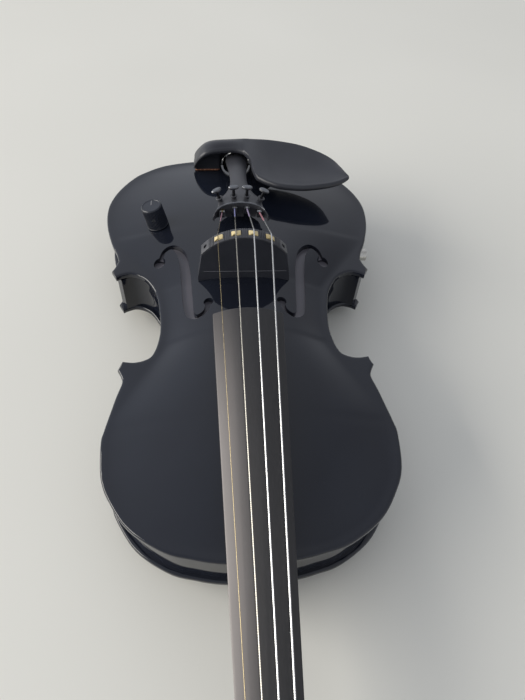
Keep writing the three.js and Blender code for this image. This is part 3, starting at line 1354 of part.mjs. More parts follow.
function fHoleTools(side) {
  const places = F_HOLE_SHARES.map(
    ([across, along]) =>
      new THREE.Vector2(side * F_HOLE_HALF_SPAN * across, F_HOLE_START_Y + F_HOLE_LENGTH * along),
  );
  const line = new THREE.SplineCurve(places);
  const last = F_HOLE_SHARES.length - 1;
  const rings = [];
  for (let i = 0; i <= F_HOLE_STEPS; i++) {
    const share = i / F_HOLE_STEPS;
    const before = Math.min(Math.floor(share * last), last - 1);
    const [w0, w1] = [F_HOLE_SHARES[before][2], F_HOLE_SHARES[before + 1][2]];
    const half = (F_HOLE_WIDTH / 2) * (w0 + (w1 - w0) * (share * last - before));
    const p = line.getPoint(share);
    const along = line.getTangent(share);
    const floor = topHeight(p.x, p.y) - F_HOLE_DEPTH;
    const corner = (sign, z) =>
      new THREE.Vector3(p.x - sign * along.y * half, p.y + sign * along.x * half, z);
    rings.push([corner(1, floor), corner(-1, floor), corner(-1, ABOVE_TOP_Z), corner(1, ABOVE_TOP_Z)]);
  }
  const eye = (place, radius) => {
    const floor = topHeight(place.x, place.y) - F_HOLE_DEPTH;
    return rod(radius, floor, ABOVE_TOP_Z, "z", [place.x, place.y, 0], SMALL_SIDES);
  };
  return fusedWith(loft(rings), [eye(places[0], F_HOLE_NECK_EYE), eye(places[last], F_HOLE_TAIL_EYE)]);
}

// The control's own frame: its origin on the top, its Z along the leaning shaft
const POT_PLACE = [KNOB_X, KNOB_Y, topHeight(KNOB_X, KNOB_Y)];
const POT_AXIS = [0, 0, 0];
const POT_SEAT_Z = -SEAT_GAP;
const onPot = (solid) => solid.rotate([0, (-KNOB_LEAN * 180) / Math.PI, 0]).translate(POT_PLACE);

function topPlate() {
  const plate = archedPlate(bodyOutline(0), TOP_EDGE, topHeight, TOP_ROWS, TOP_COLUMNS);
  const saddleSeat = box(
    [2 * SADDLE_HALF + SEAT_GAP, 2 * (SADDLE_LENGTH + SEAT_GAP / 2), 2 * ABOVE_TOP_Z],
    [0, BODY_LENGTH, 0],
  );
  const potCuts = [
    [POT_BUSH_RADIUS + TURN_GAP, -ABOVE_TOP_Z, ABOVE_TOP_Z],
    [POT_SEAT_RADIUS, POT_SEAT_Z, ABOVE_TOP_Z],
    [POT_POCKET_RADIUS, -ABOVE_TOP_Z, POT_SEAT_Z - POT_WALL],
  ].map(([radius, from, to]) => onPot(rod(radius, from, to, "z", POT_AXIS)));
  return [fHoleTools(-1), fHoleTools(1), saddleSeat, neckSeat(), ...potCuts].reduce(
    (whole, cut) => whole.subtract(cut),
    plate,
  );
}

// The space in the body that the neck's heel is set in
function neckSeat() {
  return loft([heelRing(HEEL_TENON + SEAT_GAP, SEAT_GAP), heelRing(-OVERRUN, SEAT_GAP)]);
}

const ribHalfAt = (y) => {
  const half = halfOutline(RIB_INSET);
  const next = half.findIndex((p) => p.y > y && p.x > WAIST_HALF);
  const [a, b] = [half[next - 1], half[next]];
  return a.x + ((b.x - a.x) * (y - a.y)) / (b.y - a.y);
};
const jackAxis = [0, JACK_Y, JACK_Z];
const JACK_SEAT_X = ribHalfAt(JACK_Y) - JACK_SEAT_DEPTH;
const JACK_WALL_X = JACK_SEAT_X - JACK_WALL;
const JACK_FACE_X = JACK_SEAT_X + JACK_OUT;

function bodyCore() {
  const block = prism(bodyOutline(RIB_INSET), RIB_HEIGHT, CORE_BOTTOM_Z);
  const inner = prism(bodyOutline(RIB_INSET + RIB_WALL), RIB_HEIGHT + 2 * OVERRUN, CORE_BOTTOM_Z - OVERRUN);
  const slab = (half, fromY, toY) =>
    box([2 * half, toY - fromY, 2 * RIB_HEIGHT], [0, (fromY + toY) / 2, CORE_BOTTOM_Z]);
  const upper = inner
    .intersect(slab(UPPER_BOUT_HALF, 0, UPPER_CHAMBER_END_Y))
    .subtract(slab(NECK_BLOCK_HALF, 0, NECK_BLOCK_LENGTH));
  const lower = inner
    .intersect(slab(LOWER_BOUT_HALF, LOWER_CHAMBER_START_Y, BODY_LENGTH))
    .subtract(slab(TAIL_BLOCK_HALF, BODY_LENGTH - TAIL_BLOCK_LENGTH, BODY_LENGTH));
  const bay = box(
    [2 * BAY_HALF, LOWER_CHAMBER_START_Y - BAY_START_Y + OVERRUN, 2 * BAY_DEPTH],
    [0, (LOWER_CHAMBER_START_Y + BAY_START_Y + OVERRUN) / 2, CORE_BOTTOM_Z],
  );
  const jack = [
    rod(JACK_THREAD_RADIUS + TURN_GAP, JACK_WALL_X - OVERRUN, LOWER_BOUT_HALF, "x", jackAxis),
    rod(JACK_SEAT_RADIUS, JACK_SEAT_X, LOWER_BOUT_HALF, "x", jackAxis),
    rod(JACK_SEAT_RADIUS, JACK_WALL_X - JACK_BODY_LENGTH, JACK_WALL_X, "x", jackAxis),
  ];
  const rib = BODY_LENGTH - RIB_INSET;
  const pinHole = rod(
    ENDPIN_RADIUS + GLUE_GAP, rib - TAIL_BLOCK_LENGTH, rib + OVERRUN, "y", [0, 0, ENDPIN_Z],
  );
  return [upper, lower, bay, ...jack, pinHole, neckSeat()].reduce(
    (whole, cut) => whole.subtract(cut),
    block,
  );
}

// A rectangle with rounded corners about a middle point, anticlockwise
function roundedRectangle(halfX, halfY, corner, middleX, middleY, steps = CORNER_STEPS) {
  const points = [];
  [[1, 1], [-1, 1], [-1, -1], [1, -1]].forEach(([sx, sy], turn) => {
    for (let i = 0; i <= steps; i++) {
      const angle = (Math.PI / 2) * (turn + i / steps);
      points.push(
        new THREE.Vector2(
          middleX + sx * (halfX - corner) + corner * Math.cos(angle),
          middleY + sy * (halfY - corner) + corner * Math.sin(angle),
        ),
      );
    }
  });
  return points;
}

const coverOutline = (inset) => roundedRectangle(
  COVER_HALF - inset, COVER_LENGTH / 2 - inset, COVER_CORNER - inset / 2, 0, COVER_CENTRE_Y,
);

const coverScrewPlaces = [[1, 1], [-1, 1], [-1, -1], [1, -1]].map(([sx, sy]) => [
  sx * (COVER_HALF - COVER_SCREW_INSET),
  COVER_CENTRE_Y + sy * (COVER_LENGTH / 2 - COVER_SCREW_INSET),
  BACK_Z,
]);

// The back plate is the arched plate turned over in the plane of its flat face
function backPlate() {
  const plate = archedPlate(bodyOutline(0, true), BACK_EDGE, backHeight, BACK_ROWS, BACK_COLUMNS)
    .mirror([0, 0, 1])
    .translate([0, 0, CORE_BOTTOM_Z - BACK_EDGE]);
  const recess = prism(coverOutline(-SEAT_GAP / 2), OVERRUN, BACK_Z + COVER_THICKNESS - OVERRUN);
  const opening = prism(coverOutline(COVER_LEDGE), 2 * BACK_ARCH + OVERRUN, BACK_Z - OVERRUN);
  const holes = coverScrewPlaces.map((place) =>
    rod(COVER_SCREW_RADIUS + GLUE_GAP, 0, COVER_SCREW_LENGTH + SEAT_GAP, "z", place, SMALL_SIDES),
  );
  return [recess, opening, ...holes].reduce((whole, cut) => whole.subtract(cut), plate);
}

const screwHeadDepth = COVER_SCREW_HEAD - COVER_SCREW_RADIUS;

function backCover() {
  const plate = prism(coverOutline(SEAT_GAP / 2), COVER_THICKNESS, BACK_Z);
  return coverScrewPlaces.reduce((whole, place) => {
    const bore = COVER_SCREW_RADIUS + SEAT_GAP;
    const head = COVER_SCREW_HEAD + SEAT_GAP;
    const profile = [
      [0, -OVERRUN], [head, -OVERRUN], [head, 0], [bore, screwHeadDepth], [bore, OVERRUN], [0, OVERRUN],
    ];
    return whole.subtract(turned(profile, "z", place, SMALL_SIDES));
  }, plate);
}

function coverScrew(place) {
  const screw = turned(
    [
      [0, 0],
      [COVER_SCREW_HEAD, 0],
      [COVER_SCREW_RADIUS, screwHeadDepth],
      [COVER_SCREW_RADIUS, COVER_SCREW_LENGTH - COVER_SCREW_RADIUS],
      [0, COVER_SCREW_LENGTH],
    ],
    "z",
    place,
    SMALL_SIDES,
  );
  const slot = COVER_SCREW_HEAD * 1.2;
  return screw
    .subtract(box([slot, COVER_SCREW_SLOT, 2 * COVER_SCREW_SLOT], place))
    .subtract(box([COVER_SCREW_SLOT, slot, 2 * COVER_SCREW_SLOT], place));
}

// Volume control: pot below the top, nut in a flat seat above it, knob on the shaft
// Highest point of the top round the shaft, measured along the shaft
const highestAround = (radius) => {
  let highest = 0;
  for (let i = 0; i < ROUND_SIDES; i++) {
    const angle = (2 * Math.PI * i) / ROUND_SIDES;
    const out = radius * Math.cos(angle);
    const rise = topHeight(KNOB_X + out, KNOB_Y + radius * Math.sin(angle)) - POT_PLACE[2];
    highest = Math.max(highest, rise * Math.cos(KNOB_LEAN) - out * Math.sin(KNOB_LEAN));
  }
  return highest;
};
const KNOB_Z = highestAround(KNOB_RADIUS) + KNOB_FLOAT;
const POT_FLOOR_Z = POT_SEAT_Z - POT_WALL - GLUE_GAP;
const POT_END_Z = POT_FLOOR_Z - POT_BODY_HEIGHT;

const SET_SCREW_PLACE = [0, 0, KNOB_Z + SET_SCREW_HEIGHT];

// Knob: hollow below over the nut, bored for the shaft, with the set screw in its front
function knob() {
  const rim = KNOB_RADIUS * 0.95;
  const top = KNOB_Z + KNOB_HEIGHT;
  const bevel = KNOB_RADIUS - rim;
  const body = turned(
    [[0, KNOB_Z], [KNOB_RADIUS, KNOB_Z], [rim, top - bevel], [rim - bevel, top], [0, top]],
    "z",
    POT_AXIS,
    KNOB_SIDES,
  );
  const bottom = KNOB_Z - OVERRUN;
  const overNut = POT_SEAT_Z + POT_NUT_HEIGHT + 2 * KNOB_FLOAT;
  const cuts = [
    rod(POT_SEAT_RADIUS, bottom, overNut, "z", POT_AXIS),
    rod(POT_SHAFT_RADIUS + GLUE_GAP, bottom, KNOB_Z + KNOB_BORE_DEPTH, "z", POT_AXIS),
    rod(SET_SCREW_RADIUS + GLUE_GAP, -2 * KNOB_RADIUS, 0, "y", SET_SCREW_PLACE, SMALL_SIDES),
  ];
  return onPot(cuts.reduce((whole, cut) => whole.subtract(cut), body));
}

function knobSetScrew() {
  const start = POT_SHAFT_RADIUS + GLUE_GAP / 2;
  const end = start + SET_SCREW_LENGTH;
  const screw = rod(SET_SCREW_RADIUS, -end, -start, "y", SET_SCREW_PLACE, SMALL_SIDES);
  const socket = [SET_SCREW_RADIUS * 0.4, SET_SCREW_RADIUS, SET_SCREW_RADIUS * 1.4];
  return onPot(screw.subtract(box(socket, [0, -end, SET_SCREW_PLACE[2]])));
}

function potBody() {
  const bushTop = POT_SEAT_Z + POT_NUT_HEIGHT + GLUE_GAP;
  const well = POT_FLOOR_Z - POT_SHAFT_RADIUS;
  const profile = [
    [0, POT_END_Z],
    [POT_BODY_RADIUS, POT_END_Z],
    [POT_BODY_RADIUS, POT_FLOOR_Z],
    [POT_BUSH_RADIUS, POT_FLOOR_Z],
    [POT_BUSH_RADIUS, bushTop],
    [POT_SHAFT_RADIUS + TURN_GAP, bushTop],
    [POT_SHAFT_RADIUS + TURN_GAP, well],
    [0, well],
  ];
  return onPot(turned(profile, "z", POT_AXIS));
}

function potShaft() {
  const foot = POT_FLOOR_Z - POT_SHAFT_RADIUS + GLUE_GAP;
  return onPot(rod(POT_SHAFT_RADIUS, foot, KNOB_Z + KNOB_BORE_DEPTH - GLUE_GAP, "z", POT_AXIS));
}

function ringNut(outer, inner, from, to, axis, centre, sides) {
  const bore = rod(inner, from - OVERRUN, to + OVERRUN, axis, centre);
  return rod(outer, from, to, axis, centre, sides).subtract(bore);
}

const potNut = () =>
  onPot(
    ringNut(
      POT_NUT_HALF, POT_BUSH_RADIUS + GLUE_GAP, POT_SEAT_Z, POT_SEAT_Z + POT_NUT_HEIGHT, "z", POT_AXIS, 6,
    ),
  );

function outputJack() {
  const bodyEnd = JACK_WALL_X - JACK_BODY_LENGTH + SEAT_GAP;
  const bodyFace = JACK_WALL_X - GLUE_GAP;
  return turned(
    [
      [0, bodyEnd],
      [JACK_BODY_RADIUS, bodyEnd],
      [JACK_BODY_RADIUS, bodyFace],
      [JACK_THREAD_RADIUS, bodyFace],
      [JACK_THREAD_RADIUS, JACK_FACE_X],
      [JACK_BORE_RADIUS, JACK_FACE_X],
      [JACK_BORE_RADIUS, bodyEnd + JACK_BORE_RADIUS],
      [0, bodyEnd + JACK_BORE_RADIUS],
    ],
    "x",
    jackAxis,
  );
}

const jackNut = () =>
  ringNut(
    JACK_NUT_RADIUS, JACK_THREAD_RADIUS + GLUE_GAP, JACK_SEAT_X, JACK_SEAT_X + JACK_NUT_THICKNESS,
    "x", jackAxis, 6,
  );

function preampBoard() {
  const y = BAY_START_Y + BATTERY_WIDTH + BAY_SPACE + BOARD_PCB_LENGTH / 2;
  const face = CORE_BOTTOM_Z + BAY_DEPTH;
  const under = face - BOARD_PCB_THICKNESS;
  const chip = (share) =>
    box(
      [BOARD_CHIP, BOARD_CHIP, BOARD_CHIP_HEIGHT],
      [0, y + BOARD_PCB_LENGTH * share, under - BOARD_CHIP_HEIGHT / 2],
    );
  const plate = box(
    [BOARD_PCB_WIDTH, BOARD_PCB_LENGTH, BOARD_PCB_THICKNESS],
    [0, y, face - BOARD_PCB_THICKNESS / 2],
  );
  return fusedWith(plate, [chip(-0.25), chip(0.2)]);
}

function battery() {
  const y = BAY_START_Y + BATTERY_WIDTH / 2 + BAY_SPACE / 2;
  const bottom = BACK_Z + COVER_THICKNESS;
  const middle = bottom + BATTERY_DEPTH / 2;
  const length = BATTERY_LENGTH - BATTERY_STUD_HEIGHT;
  const end = length / 2 - BATTERY_STUD_HEIGHT / 2;
  const cell = box([length, BATTERY_WIDTH, BATTERY_DEPTH], [-BATTERY_STUD_HEIGHT / 2, y, middle]);
  const studs = [-1, 1].map((side) =>
    rod(
      BATTERY_STUD_RADIUS, end - BATTERY_STUD_HEIGHT, end + BATTERY_STUD_HEIGHT, "x",
      [0, y + (side * BATTERY_STUD_PITCH) / 2, middle], SMALL_SIDES,
    ),
  );
  return fusedWith(cell, studs);
}

// Chin rest stations along X: share of its width, shares of its depth for the near and the far
// edge, share of the rim's height, share of the dish and share of the thickness
const REST_SHARES = [
  [0, 0.83, 0.93, 0.22, 0, 0.5], [0.003, 0.8, 0.945, 0.33, 0, 0.8], [0.012, 0.775, 0.955, 0.49, 0, 1],
  [0.032, 0.745, 0.963, 0.675, 0, 1], [0.06, 0.72, 0.968, 0.83, -0.2, 1],
  [0.095, 0.71, 0.972, 0.94, -0.35, 1], [0.15, 0.715, 0.976, 1, -0.4, 1],
  [0.262, 0.745, 0.984, 1, -0.4, 1], [0.321, 0.72, 0.99, 1, -0.38, 1], [0.346, 0.68, 0.99, 1, -0.3, 1],
  [0.375, 0.56, 0.988, 1, -0.15, 1], [0.384, 0.39, 0.985, 1, 0.05, 1], [0.403, 0.22, 0.983, 1, 0.3, 1],
  [0.43, 0.16, 0.98, 1, 0.5, 1], [0.476, 0.096, 0.975, 1, 0.75, 1], [0.548, 0.03, 0.955, 1, 0.92, 1],
  [0.671, 0, 0.895, 1, 1, 1], [0.758, 0.014, 0.82, 1, 0.95, 1], [0.857, 0.055, 0.695, 0.99, 0.75, 0.95],
  [0.92, 0.1, 0.57, 0.98, 0.5, 0.85], [0.956, 0.14, 0.445, 0.97, 0.3, 0.75],
  [0.984, 0.18, 0.33, 0.955, 0.1, 0.6], [1, 0.215, 0.26, 0.94, 0, 0.45],
];
// The feet: share of the rim's height, share of the width taken off the outer side, and share of
// the way that the front and the back have leaned in
const REST_FOOT_SHARES = [
  [0, 0.02, 0], [0.16, 0, 0], [0.43, 0.03, 0], [0.57, 0.12, 0.35], [0.7, 0.26, 0.7], [0.82, 0.44, 1],
];

function restRing([along, near, far, high, dish, thick]) {
  const x = REST_LEFT_X + REST_WIDTH * along;
  const nearY = REST_FRONT_Y + REST_DEPTH * near;
  const farY = REST_FRONT_Y + REST_DEPTH * far;
  const rim = REST_RIM_Z * high;
  const depth = REST_THICKNESS * thick;
  const round = Math.min(REST_EDGE_ROUND, (farY - nearY) / 4);
  const surface = (share) => rim - REST_DISH * dish * 4 * share * (1 - share);
  const at = (y, z) => new THREE.Vector3(x, y, z);
  const across = (share) => nearY + round + (farY - nearY - 2 * round) * share;
  return [
    at(nearY + round, rim - depth),
    at(nearY, rim - depth / 2),
    ...[0, 0.12, 0.3, 0.5, 0.7, 0.88, 1].map((share) => at(across(share), surface(share))),
    at(farY, rim - depth / 2),
    at(farY - round, rim - depth),
    ...[0.75, 0.5, 0.25].map((share) => at(across(share), surface(share) - depth)),
  ];
}

// The plan of both feet together, drawn in by an inset: its rear corners are the feet's outer ones
const feetPlan = (inset) => {
  const halfX = REST_FOOT_OUTER - inset;
  const halfY = (REST_BACK_Y - REST_FRONT_Y) / 2 - inset;
  const middleY = (REST_BACK_Y + REST_FRONT_Y) / 2;
  const corner = REST_FOOT_CORNER - inset;
  return prism(
    roundedRectangle(halfX, halfY, corner, 0, middleY, GRIP_STEPS), ABOVE_TOP_Z, -OVERRUN,
  );
};

// One foot of the chin rest, whose outer side rounds over into the plate
function restFoot(side, topSolid) {
  const width = REST_FOOT_OUTER - REST_FOOT_INNER;
  const crest = REST_FRONT_Y + REST_DEPTH * 0.95;
  const rings = REST_FOOT_SHARES.map(([high, taken, leaned]) => {
    const [inner, outer] = [REST_FOOT_INNER, REST_FOOT_OUTER - width * taken];
    const fromY = REST_FOOT_FRONT_Y - REST_EDGE_ROUND * leaned;
    const toY = REST_BACK_Y + (crest - REST_BACK_Y) * leaned;
    const middleX = (side * (inner + outer)) / 2;
    const z = REST_FOOT_Z + (REST_RIM_Z - REST_FOOT_Z) * high;
    return roundedRectangle(
      (outer - inner) / 2, (toY - fromY) / 2, REST_EDGE_ROUND, middleX, (fromY + toY) / 2,
    ).map((p) => new THREE.Vector3(p.x, p.y, z));
  });
  return loft(rings)
    .intersect(feetPlan(0))
    .subtract(topSolid.translate([0, 0, CORK_THICKNESS + 2 * GLUE_GAP]));
}

const REST_SIDES = { treble: -1, bass: 1 };
const footSpan = (side) => [side * REST_FOOT_INNER, side * REST_FOOT_OUTER].sort((a, b) => a - b);
const clampAxis = (side) => [side * CLAMP_X, BODY_LENGTH + CLAMP_CLEAR + CLAMP_BARREL_RADIUS, 0];

function chinRest(topSolid) {
  const plate = loft(REST_SHARES.map(restRing));
  const feet = Object.values(REST_SIDES).map((side) => restFoot(side, topSolid));
  const postHoles = Object.values(REST_SIDES).map((side) => {
    const end = CLAMP_POST_TOP_Z + GLUE_GAP;
    return rod(CLAMP_POST_RADIUS + GLUE_GAP, -OVERRUN, end, "z", clampAxis(side), SMALL_SIDES);
  });
  return postHoles.reduce((whole, cut) => whole.subtract(cut), fusedWith(plate, feet));
}

function restCork(side, topSolid) {
  const [from, to] = footSpan(side);
  const inset = REST_EDGE_ROUND / 4;
  const middleY = (REST_FOOT_FRONT_Y + REST_BACK_Y) / 2;
  const halfX = (to - from) / 2 - inset;
  const halfY = (REST_BACK_Y - REST_FOOT_FRONT_Y) / 2 - inset;
  const pad = prism(
    roundedRectangle(halfX, halfY, REST_EDGE_ROUND, (from + to) / 2, middleY),
    ABOVE_TOP_Z,
    REST_FOOT_Z - CORK_THICKNESS * 0.8,
  );
  return pad
    .intersect(feetPlan(inset))
    .intersect(topSolid.translate([0, 0, CORK_THICKNESS + GLUE_GAP]))
    .subtract(topSolid.translate([0, 0, GLUE_GAP]));
}

function clampPost(side) {
  const end = CLAMP_BARREL_Z - CLAMP_BARREL_LENGTH * 0.45;
  return rod(CLAMP_POST_RADIUS, end, CLAMP_POST_TOP_Z, "z", clampAxis(side), SMALL_SIDES);
}

function clampBarrel(side) {
  const top = CLAMP_BARREL_Z;
  const bottom = CLAMP_BARREL_Z - CLAMP_BARREL_LENGTH;
  const place = clampAxis(side);
  const bore = CLAMP_POST_RADIUS + GLUE_GAP;
  const barrel = ringNut(CLAMP_BARREL_RADIUS, bore, bottom, top, "z", place, SMALL_SIDES);
  const reach = CLAMP_BARREL_RADIUS * 2;
  const middle = [place[0], place[1], (top + bottom) / 2];
  const keyHole = rod(CLAMP_BARREL_HOLE, -reach, reach, "x", middle, SMALL_SIDES);
  return barrel.subtract(keyHole);
}

function clampBracket(backSolid) {
  const back = BODY_LENGTH + CLAMP_CLEAR + 2 * CLAMP_BARREL_RADIUS;
  const front = BODY_LENGTH - CLAMP_BAR_REACH;
  const bar = BODY_LENGTH + CLAMP_CLEAR;
  const [inner, outer] = [CLAMP_PAD_INNER, CLAMP_PAD_HALF];
  const outline = [
    [-outer, front], [-inner, front], [-inner, bar], [inner, bar],
    [inner, front], [outer, front], [outer, back], [-outer, back],
  ].map(([x, y]) => new THREE.Vector2(x, y));
  const bottom = CORE_BOTTOM_Z - BACK_EDGE - CLAMP_BAR_THICKNESS;
  const plate = prism(outline, CLAMP_BAR_THICKNESS - SEAT_GAP, bottom);
  const posts = Object.values(REST_SIDES).map((side) => {
    const end = CLAMP_BARREL_Z - CLAMP_BARREL_LENGTH * 0.6;
    return rod(CLAMP_POST_RADIUS, bottom + SEAT_GAP, end, "z", clampAxis(side), SMALL_SIDES);
  });
  return fusedWith(plate, posts).subtract(backSolid.translate([0, 0, -SEAT_GAP]));
}

const top = topPlate();
const back = backPlate();
addPiece("top_plate", top, "gloss");
addPiece("body_core", bodyCore(), "gloss");
addPiece("back_plate", back, "gloss");
addPiece("back_cover", backCover(), "plastic");
coverScrewPlaces.forEach((place, i) => {
  addPiece(`back_cover_screw_${i + 1}`, coverScrew(place), "black_screw");
});
addPiece("fingerboard", fingerboard(), "ebony");
addPiece("neck_and_scroll", neckAndScroll(), "gloss");
addPiece("nut", nut(), "ebony");
addPiece("bridge_body", bridgeBody(top), "bridge");
addPiece("bridge_cap", bridgeCap(), "cap");
addPiece("tailpiece", tailpiece(), "composite");
addPiece("fine_tuner_axle", tunerAxle(), "steel");
STRING_NAMES.forEach((name, i) => {
  addPiece(`peg_${name}`, peg(PEG_ORDER[i], PEG_SIDES[i]), "ebony");
  addPiece(`string_${name}`, violinString(i), "steel");
  addPiece(`piezo_saddle_${name}`, saddleBlock(i), "cream");
  addPiece(`fine_tuner_lever_${name}`, lever(i), "lever");
  addPiece(`fine_tuner_stem_${name}`, tunerStem(i), "black_screw");
  addPiece(`fine_tuner_head_${name}`, tunerHead(i), "black_screw");
});
addPiece("tail_saddle", tailSaddle(), "ebony");
addPiece("endpin", endpin(), "ebony");
addPiece("tailgut", tailgut(), "gut");
addPiece("volume_knob", knob(), "knob");
addPiece("knob_set_screw", knobSetScrew(), "black_screw");
addPiece("volume_pot_body", potBody(), "steel");
addPiece("volume_pot_shaft", potShaft(), "nickel");
addPiece("volume_pot_nut", potNut(), "nickel");
addPiece("output_jack", outputJack(), "nickel");
addPiece("jack_nut", jackNut(), "nickel");
addPiece("preamp_board", preampBoard(), "board");
addPiece("battery", battery(), "cell");
addPiece("chin_rest", chinRest(top), "rest");
Object.entries(REST_SIDES).forEach(([name, side]) => {
  addPiece(`chin_rest_cork_${name}`, restCork(side, top), "cork");
  addPiece(`clamp_post_${name}`, clampPost(side), "nickel");
  addPiece(`clamp_barrel_${name}`, clampBarrel(side), "nickel");
});
addPiece("clamp_bracket", clampBracket(back), "nickel");

// The centre of the back cover becomes the origin
violin.position.set(0, -COVER_CENTRE_Y, -BACK_Z);

export default violin;
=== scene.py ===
# A four-string electric violin, black and glossy, lying on its flat back on a pale floor.
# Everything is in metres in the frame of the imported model: +X bass side, +Y tail, +Z out of the top.
import bisect
import math
from itertools import accumulate

import bmesh
import bpy
from mathutils import Matrix, Vector, geometry, kdtree


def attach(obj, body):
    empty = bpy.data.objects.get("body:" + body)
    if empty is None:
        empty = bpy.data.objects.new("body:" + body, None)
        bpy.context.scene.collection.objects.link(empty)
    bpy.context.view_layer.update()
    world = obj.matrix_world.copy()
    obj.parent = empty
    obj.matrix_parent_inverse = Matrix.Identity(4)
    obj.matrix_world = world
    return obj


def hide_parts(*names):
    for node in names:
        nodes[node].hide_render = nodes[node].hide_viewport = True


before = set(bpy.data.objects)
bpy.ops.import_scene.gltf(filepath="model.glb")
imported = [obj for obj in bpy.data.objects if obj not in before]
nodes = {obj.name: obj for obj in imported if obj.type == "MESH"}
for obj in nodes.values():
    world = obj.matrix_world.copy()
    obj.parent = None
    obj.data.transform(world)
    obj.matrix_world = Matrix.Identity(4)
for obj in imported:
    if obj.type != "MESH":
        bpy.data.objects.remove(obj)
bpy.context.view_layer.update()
STRINGS = ("e", "a", "d", "g")
MM_PER_METRE = 1000


def placed(name, data):
    """A new object with its data, linked into the scene."""
    made = bpy.data.objects.new(name, data)
    bpy.context.scene.collection.objects.link(made)
    return made


# Camera: angles in radians, and the focal length in pixels of a picture 700 pixels high

CAMERA_AT = Vector((-0.01757, -0.27588, 0.32077))
CAMERA_DOWN = 0.89653
CAMERA_YAW = 0.127539
CAMERA_ROLL = 0.0781496
FOCAL_PIXELS = 532.57
PICTURE_HEIGHT = 700
SENSOR_WIDTH = 36


def make_camera():
    """The photograph's view: from above the neck, down towards the tail."""
    ahead = Vector((
        math.sin(CAMERA_YAW) * math.cos(CAMERA_DOWN),
        math.cos(CAMERA_YAW) * math.cos(CAMERA_DOWN),
        -math.sin(CAMERA_DOWN),
    ))
    level = Vector((math.cos(CAMERA_YAW), -math.sin(CAMERA_YAW), 0))
    over = level.cross(ahead)
    right = math.cos(CAMERA_ROLL) * level + math.sin(CAMERA_ROLL) * over
    up = math.cos(CAMERA_ROLL) * over - math.sin(CAMERA_ROLL) * level
    data = bpy.data.cameras.new("photo_view")
    data.sensor_width = SENSOR_WIDTH
    data.lens = FOCAL_PIXELS * SENSOR_WIDTH / PICTURE_HEIGHT
    data.clip_start = 0.01
    camera = placed("photo_view", data)
    turn = Matrix((right, up, -ahead)).transposed()
    camera.matrix_world = Matrix.Translation(CAMERA_AT) @ turn.to_4x4()
    bpy.context.scene.camera = camera


make_camera()


# Making pieces: the drawing is in millimetres, from the body's neck end and its upper edge

DRAWING_ORIGIN = Vector((0, -196, 49.5))
LATHE_SIDES = 64


def solid(name, points, faces):
    """A piece from drawn points and the faces over them, with its faces turned outwards."""
    mesh = bpy.data.meshes.new(name)
    mesh.from_pydata([(Vector(p) + DRAWING_ORIGIN) / MM_PER_METRE for p in points], [], faces)
    cleaned = bmesh.new()
    cleaned.from_mesh(mesh)
    bmesh.ops.recalc_face_normals(cleaned, faces=cleaned.faces)
    cleaned.to_mesh(mesh)
    cleaned.free()
    return placed(name, mesh)


def loft(name, rings):
    """A skin over closed rings of equal length, closed at both ends."""
    count = len(rings[0])
    end = count * (len(rings) - 1)
    faces = []
    for near in range(0, end, count):
        for i in range(count):
            after = (i + 1) % count
            faces.append((near + i, near + after, near + count + after, near + count + i))
    faces += [tuple(range(count)), tuple(range(end, end + count))]
    return solid(name, [p for ring in rings for p in ring], faces)


def leaning(point, lean, foot):
    """A point of a turned part, leant over sideways about its foot."""
    x, y, z = point
    return (foot[0] + x * math.cos(lean) + z * math.sin(lean), foot[1] + y,
            foot[2] - x * math.sin(lean) + z * math.cos(lean))


def turned(name, profile, foot, lean=0.0, sides=LATHE_SIDES, ridges=0, ridge_depth=0.0):
    """A lathe-turned part from (radius, height) pairs; a pair marked as knurled gets the ridges."""
    rings = []
    for radius, height, *knurled in profile:
        ring = []
        for i in range(sides):
            angle = 2 * math.pi * i / sides
            cut = ridge_depth * (0.5 + 0.5 * math.cos(ridges * angle)) if knurled else 0
            out = radius - cut
            ring.append(leaning((out * math.cos(angle), out * math.sin(angle), height), lean, foot))
        rings.append(ring)
    return loft(name, rings)


def lying(name, profile, centre):
    """A turned part whose axis lies across the body."""
    x, y, z = centre
    turns = [2 * math.pi * i / LATHE_SIDES for i in range(LATHE_SIDES)]
    return loft(name, [[(x + height, y + radius * math.cos(a), z + radius * math.sin(a)) for a in turns]
                       for radius, height in profile])


def rectangle(low, high, near, far):
    return [(low, near), (high, near), (high, far), (low, far)]


def upright(name, plan, bottom, top):
    """A straight-sided part over a plan."""
    return loft(name, [[(x, y, z) for x, y in plan] for z in (bottom, top)])


def settle(piece):
    """Keeps what a piece's modifiers make of it as its own mesh."""
    seen = piece.evaluated_get(bpy.context.evaluated_depsgraph_get())
    made = bpy.data.meshes.new_from_object(seen)
    piece.modifiers.clear()
    piece.data = made


def carve(piece, tools, operation="DIFFERENCE"):
    """Cuts the tools out of a piece, or joins it with them, and removes them."""
    for tool in tools:
        cut = piece.modifiers.new("cut", "BOOLEAN")
        cut.solver = "EXACT"
        cut.operation = operation
        cut.object = tool
    settle(piece)
    for tool in tools:
        bpy.data.objects.remove(tool)
    return piece


def between(a, b, c, d, share):
    """A smooth curve's value at a share of the way from b to c, with a before them and d after them."""
    return 0.5 * (2 * b + (c - a) * share
                  + (2 * a - 5 * b + 4 * c - d) * share * share
                  + (3 * b - a - 3 * c + d) * share ** 3)


def through(points, steps):
    """A smooth line through points, with extra points between them."""
    line = []
    last = len(points) - 1
    for i in range(last):
        four = [points[max(0, i - 1)], points[i], points[i + 1], points[min(last, i + 2)]]
        for k in range(steps):
            line.append(tuple(between(*values, k / steps) for values in zip(*four)))
    return line + [tuple(points[-1])]


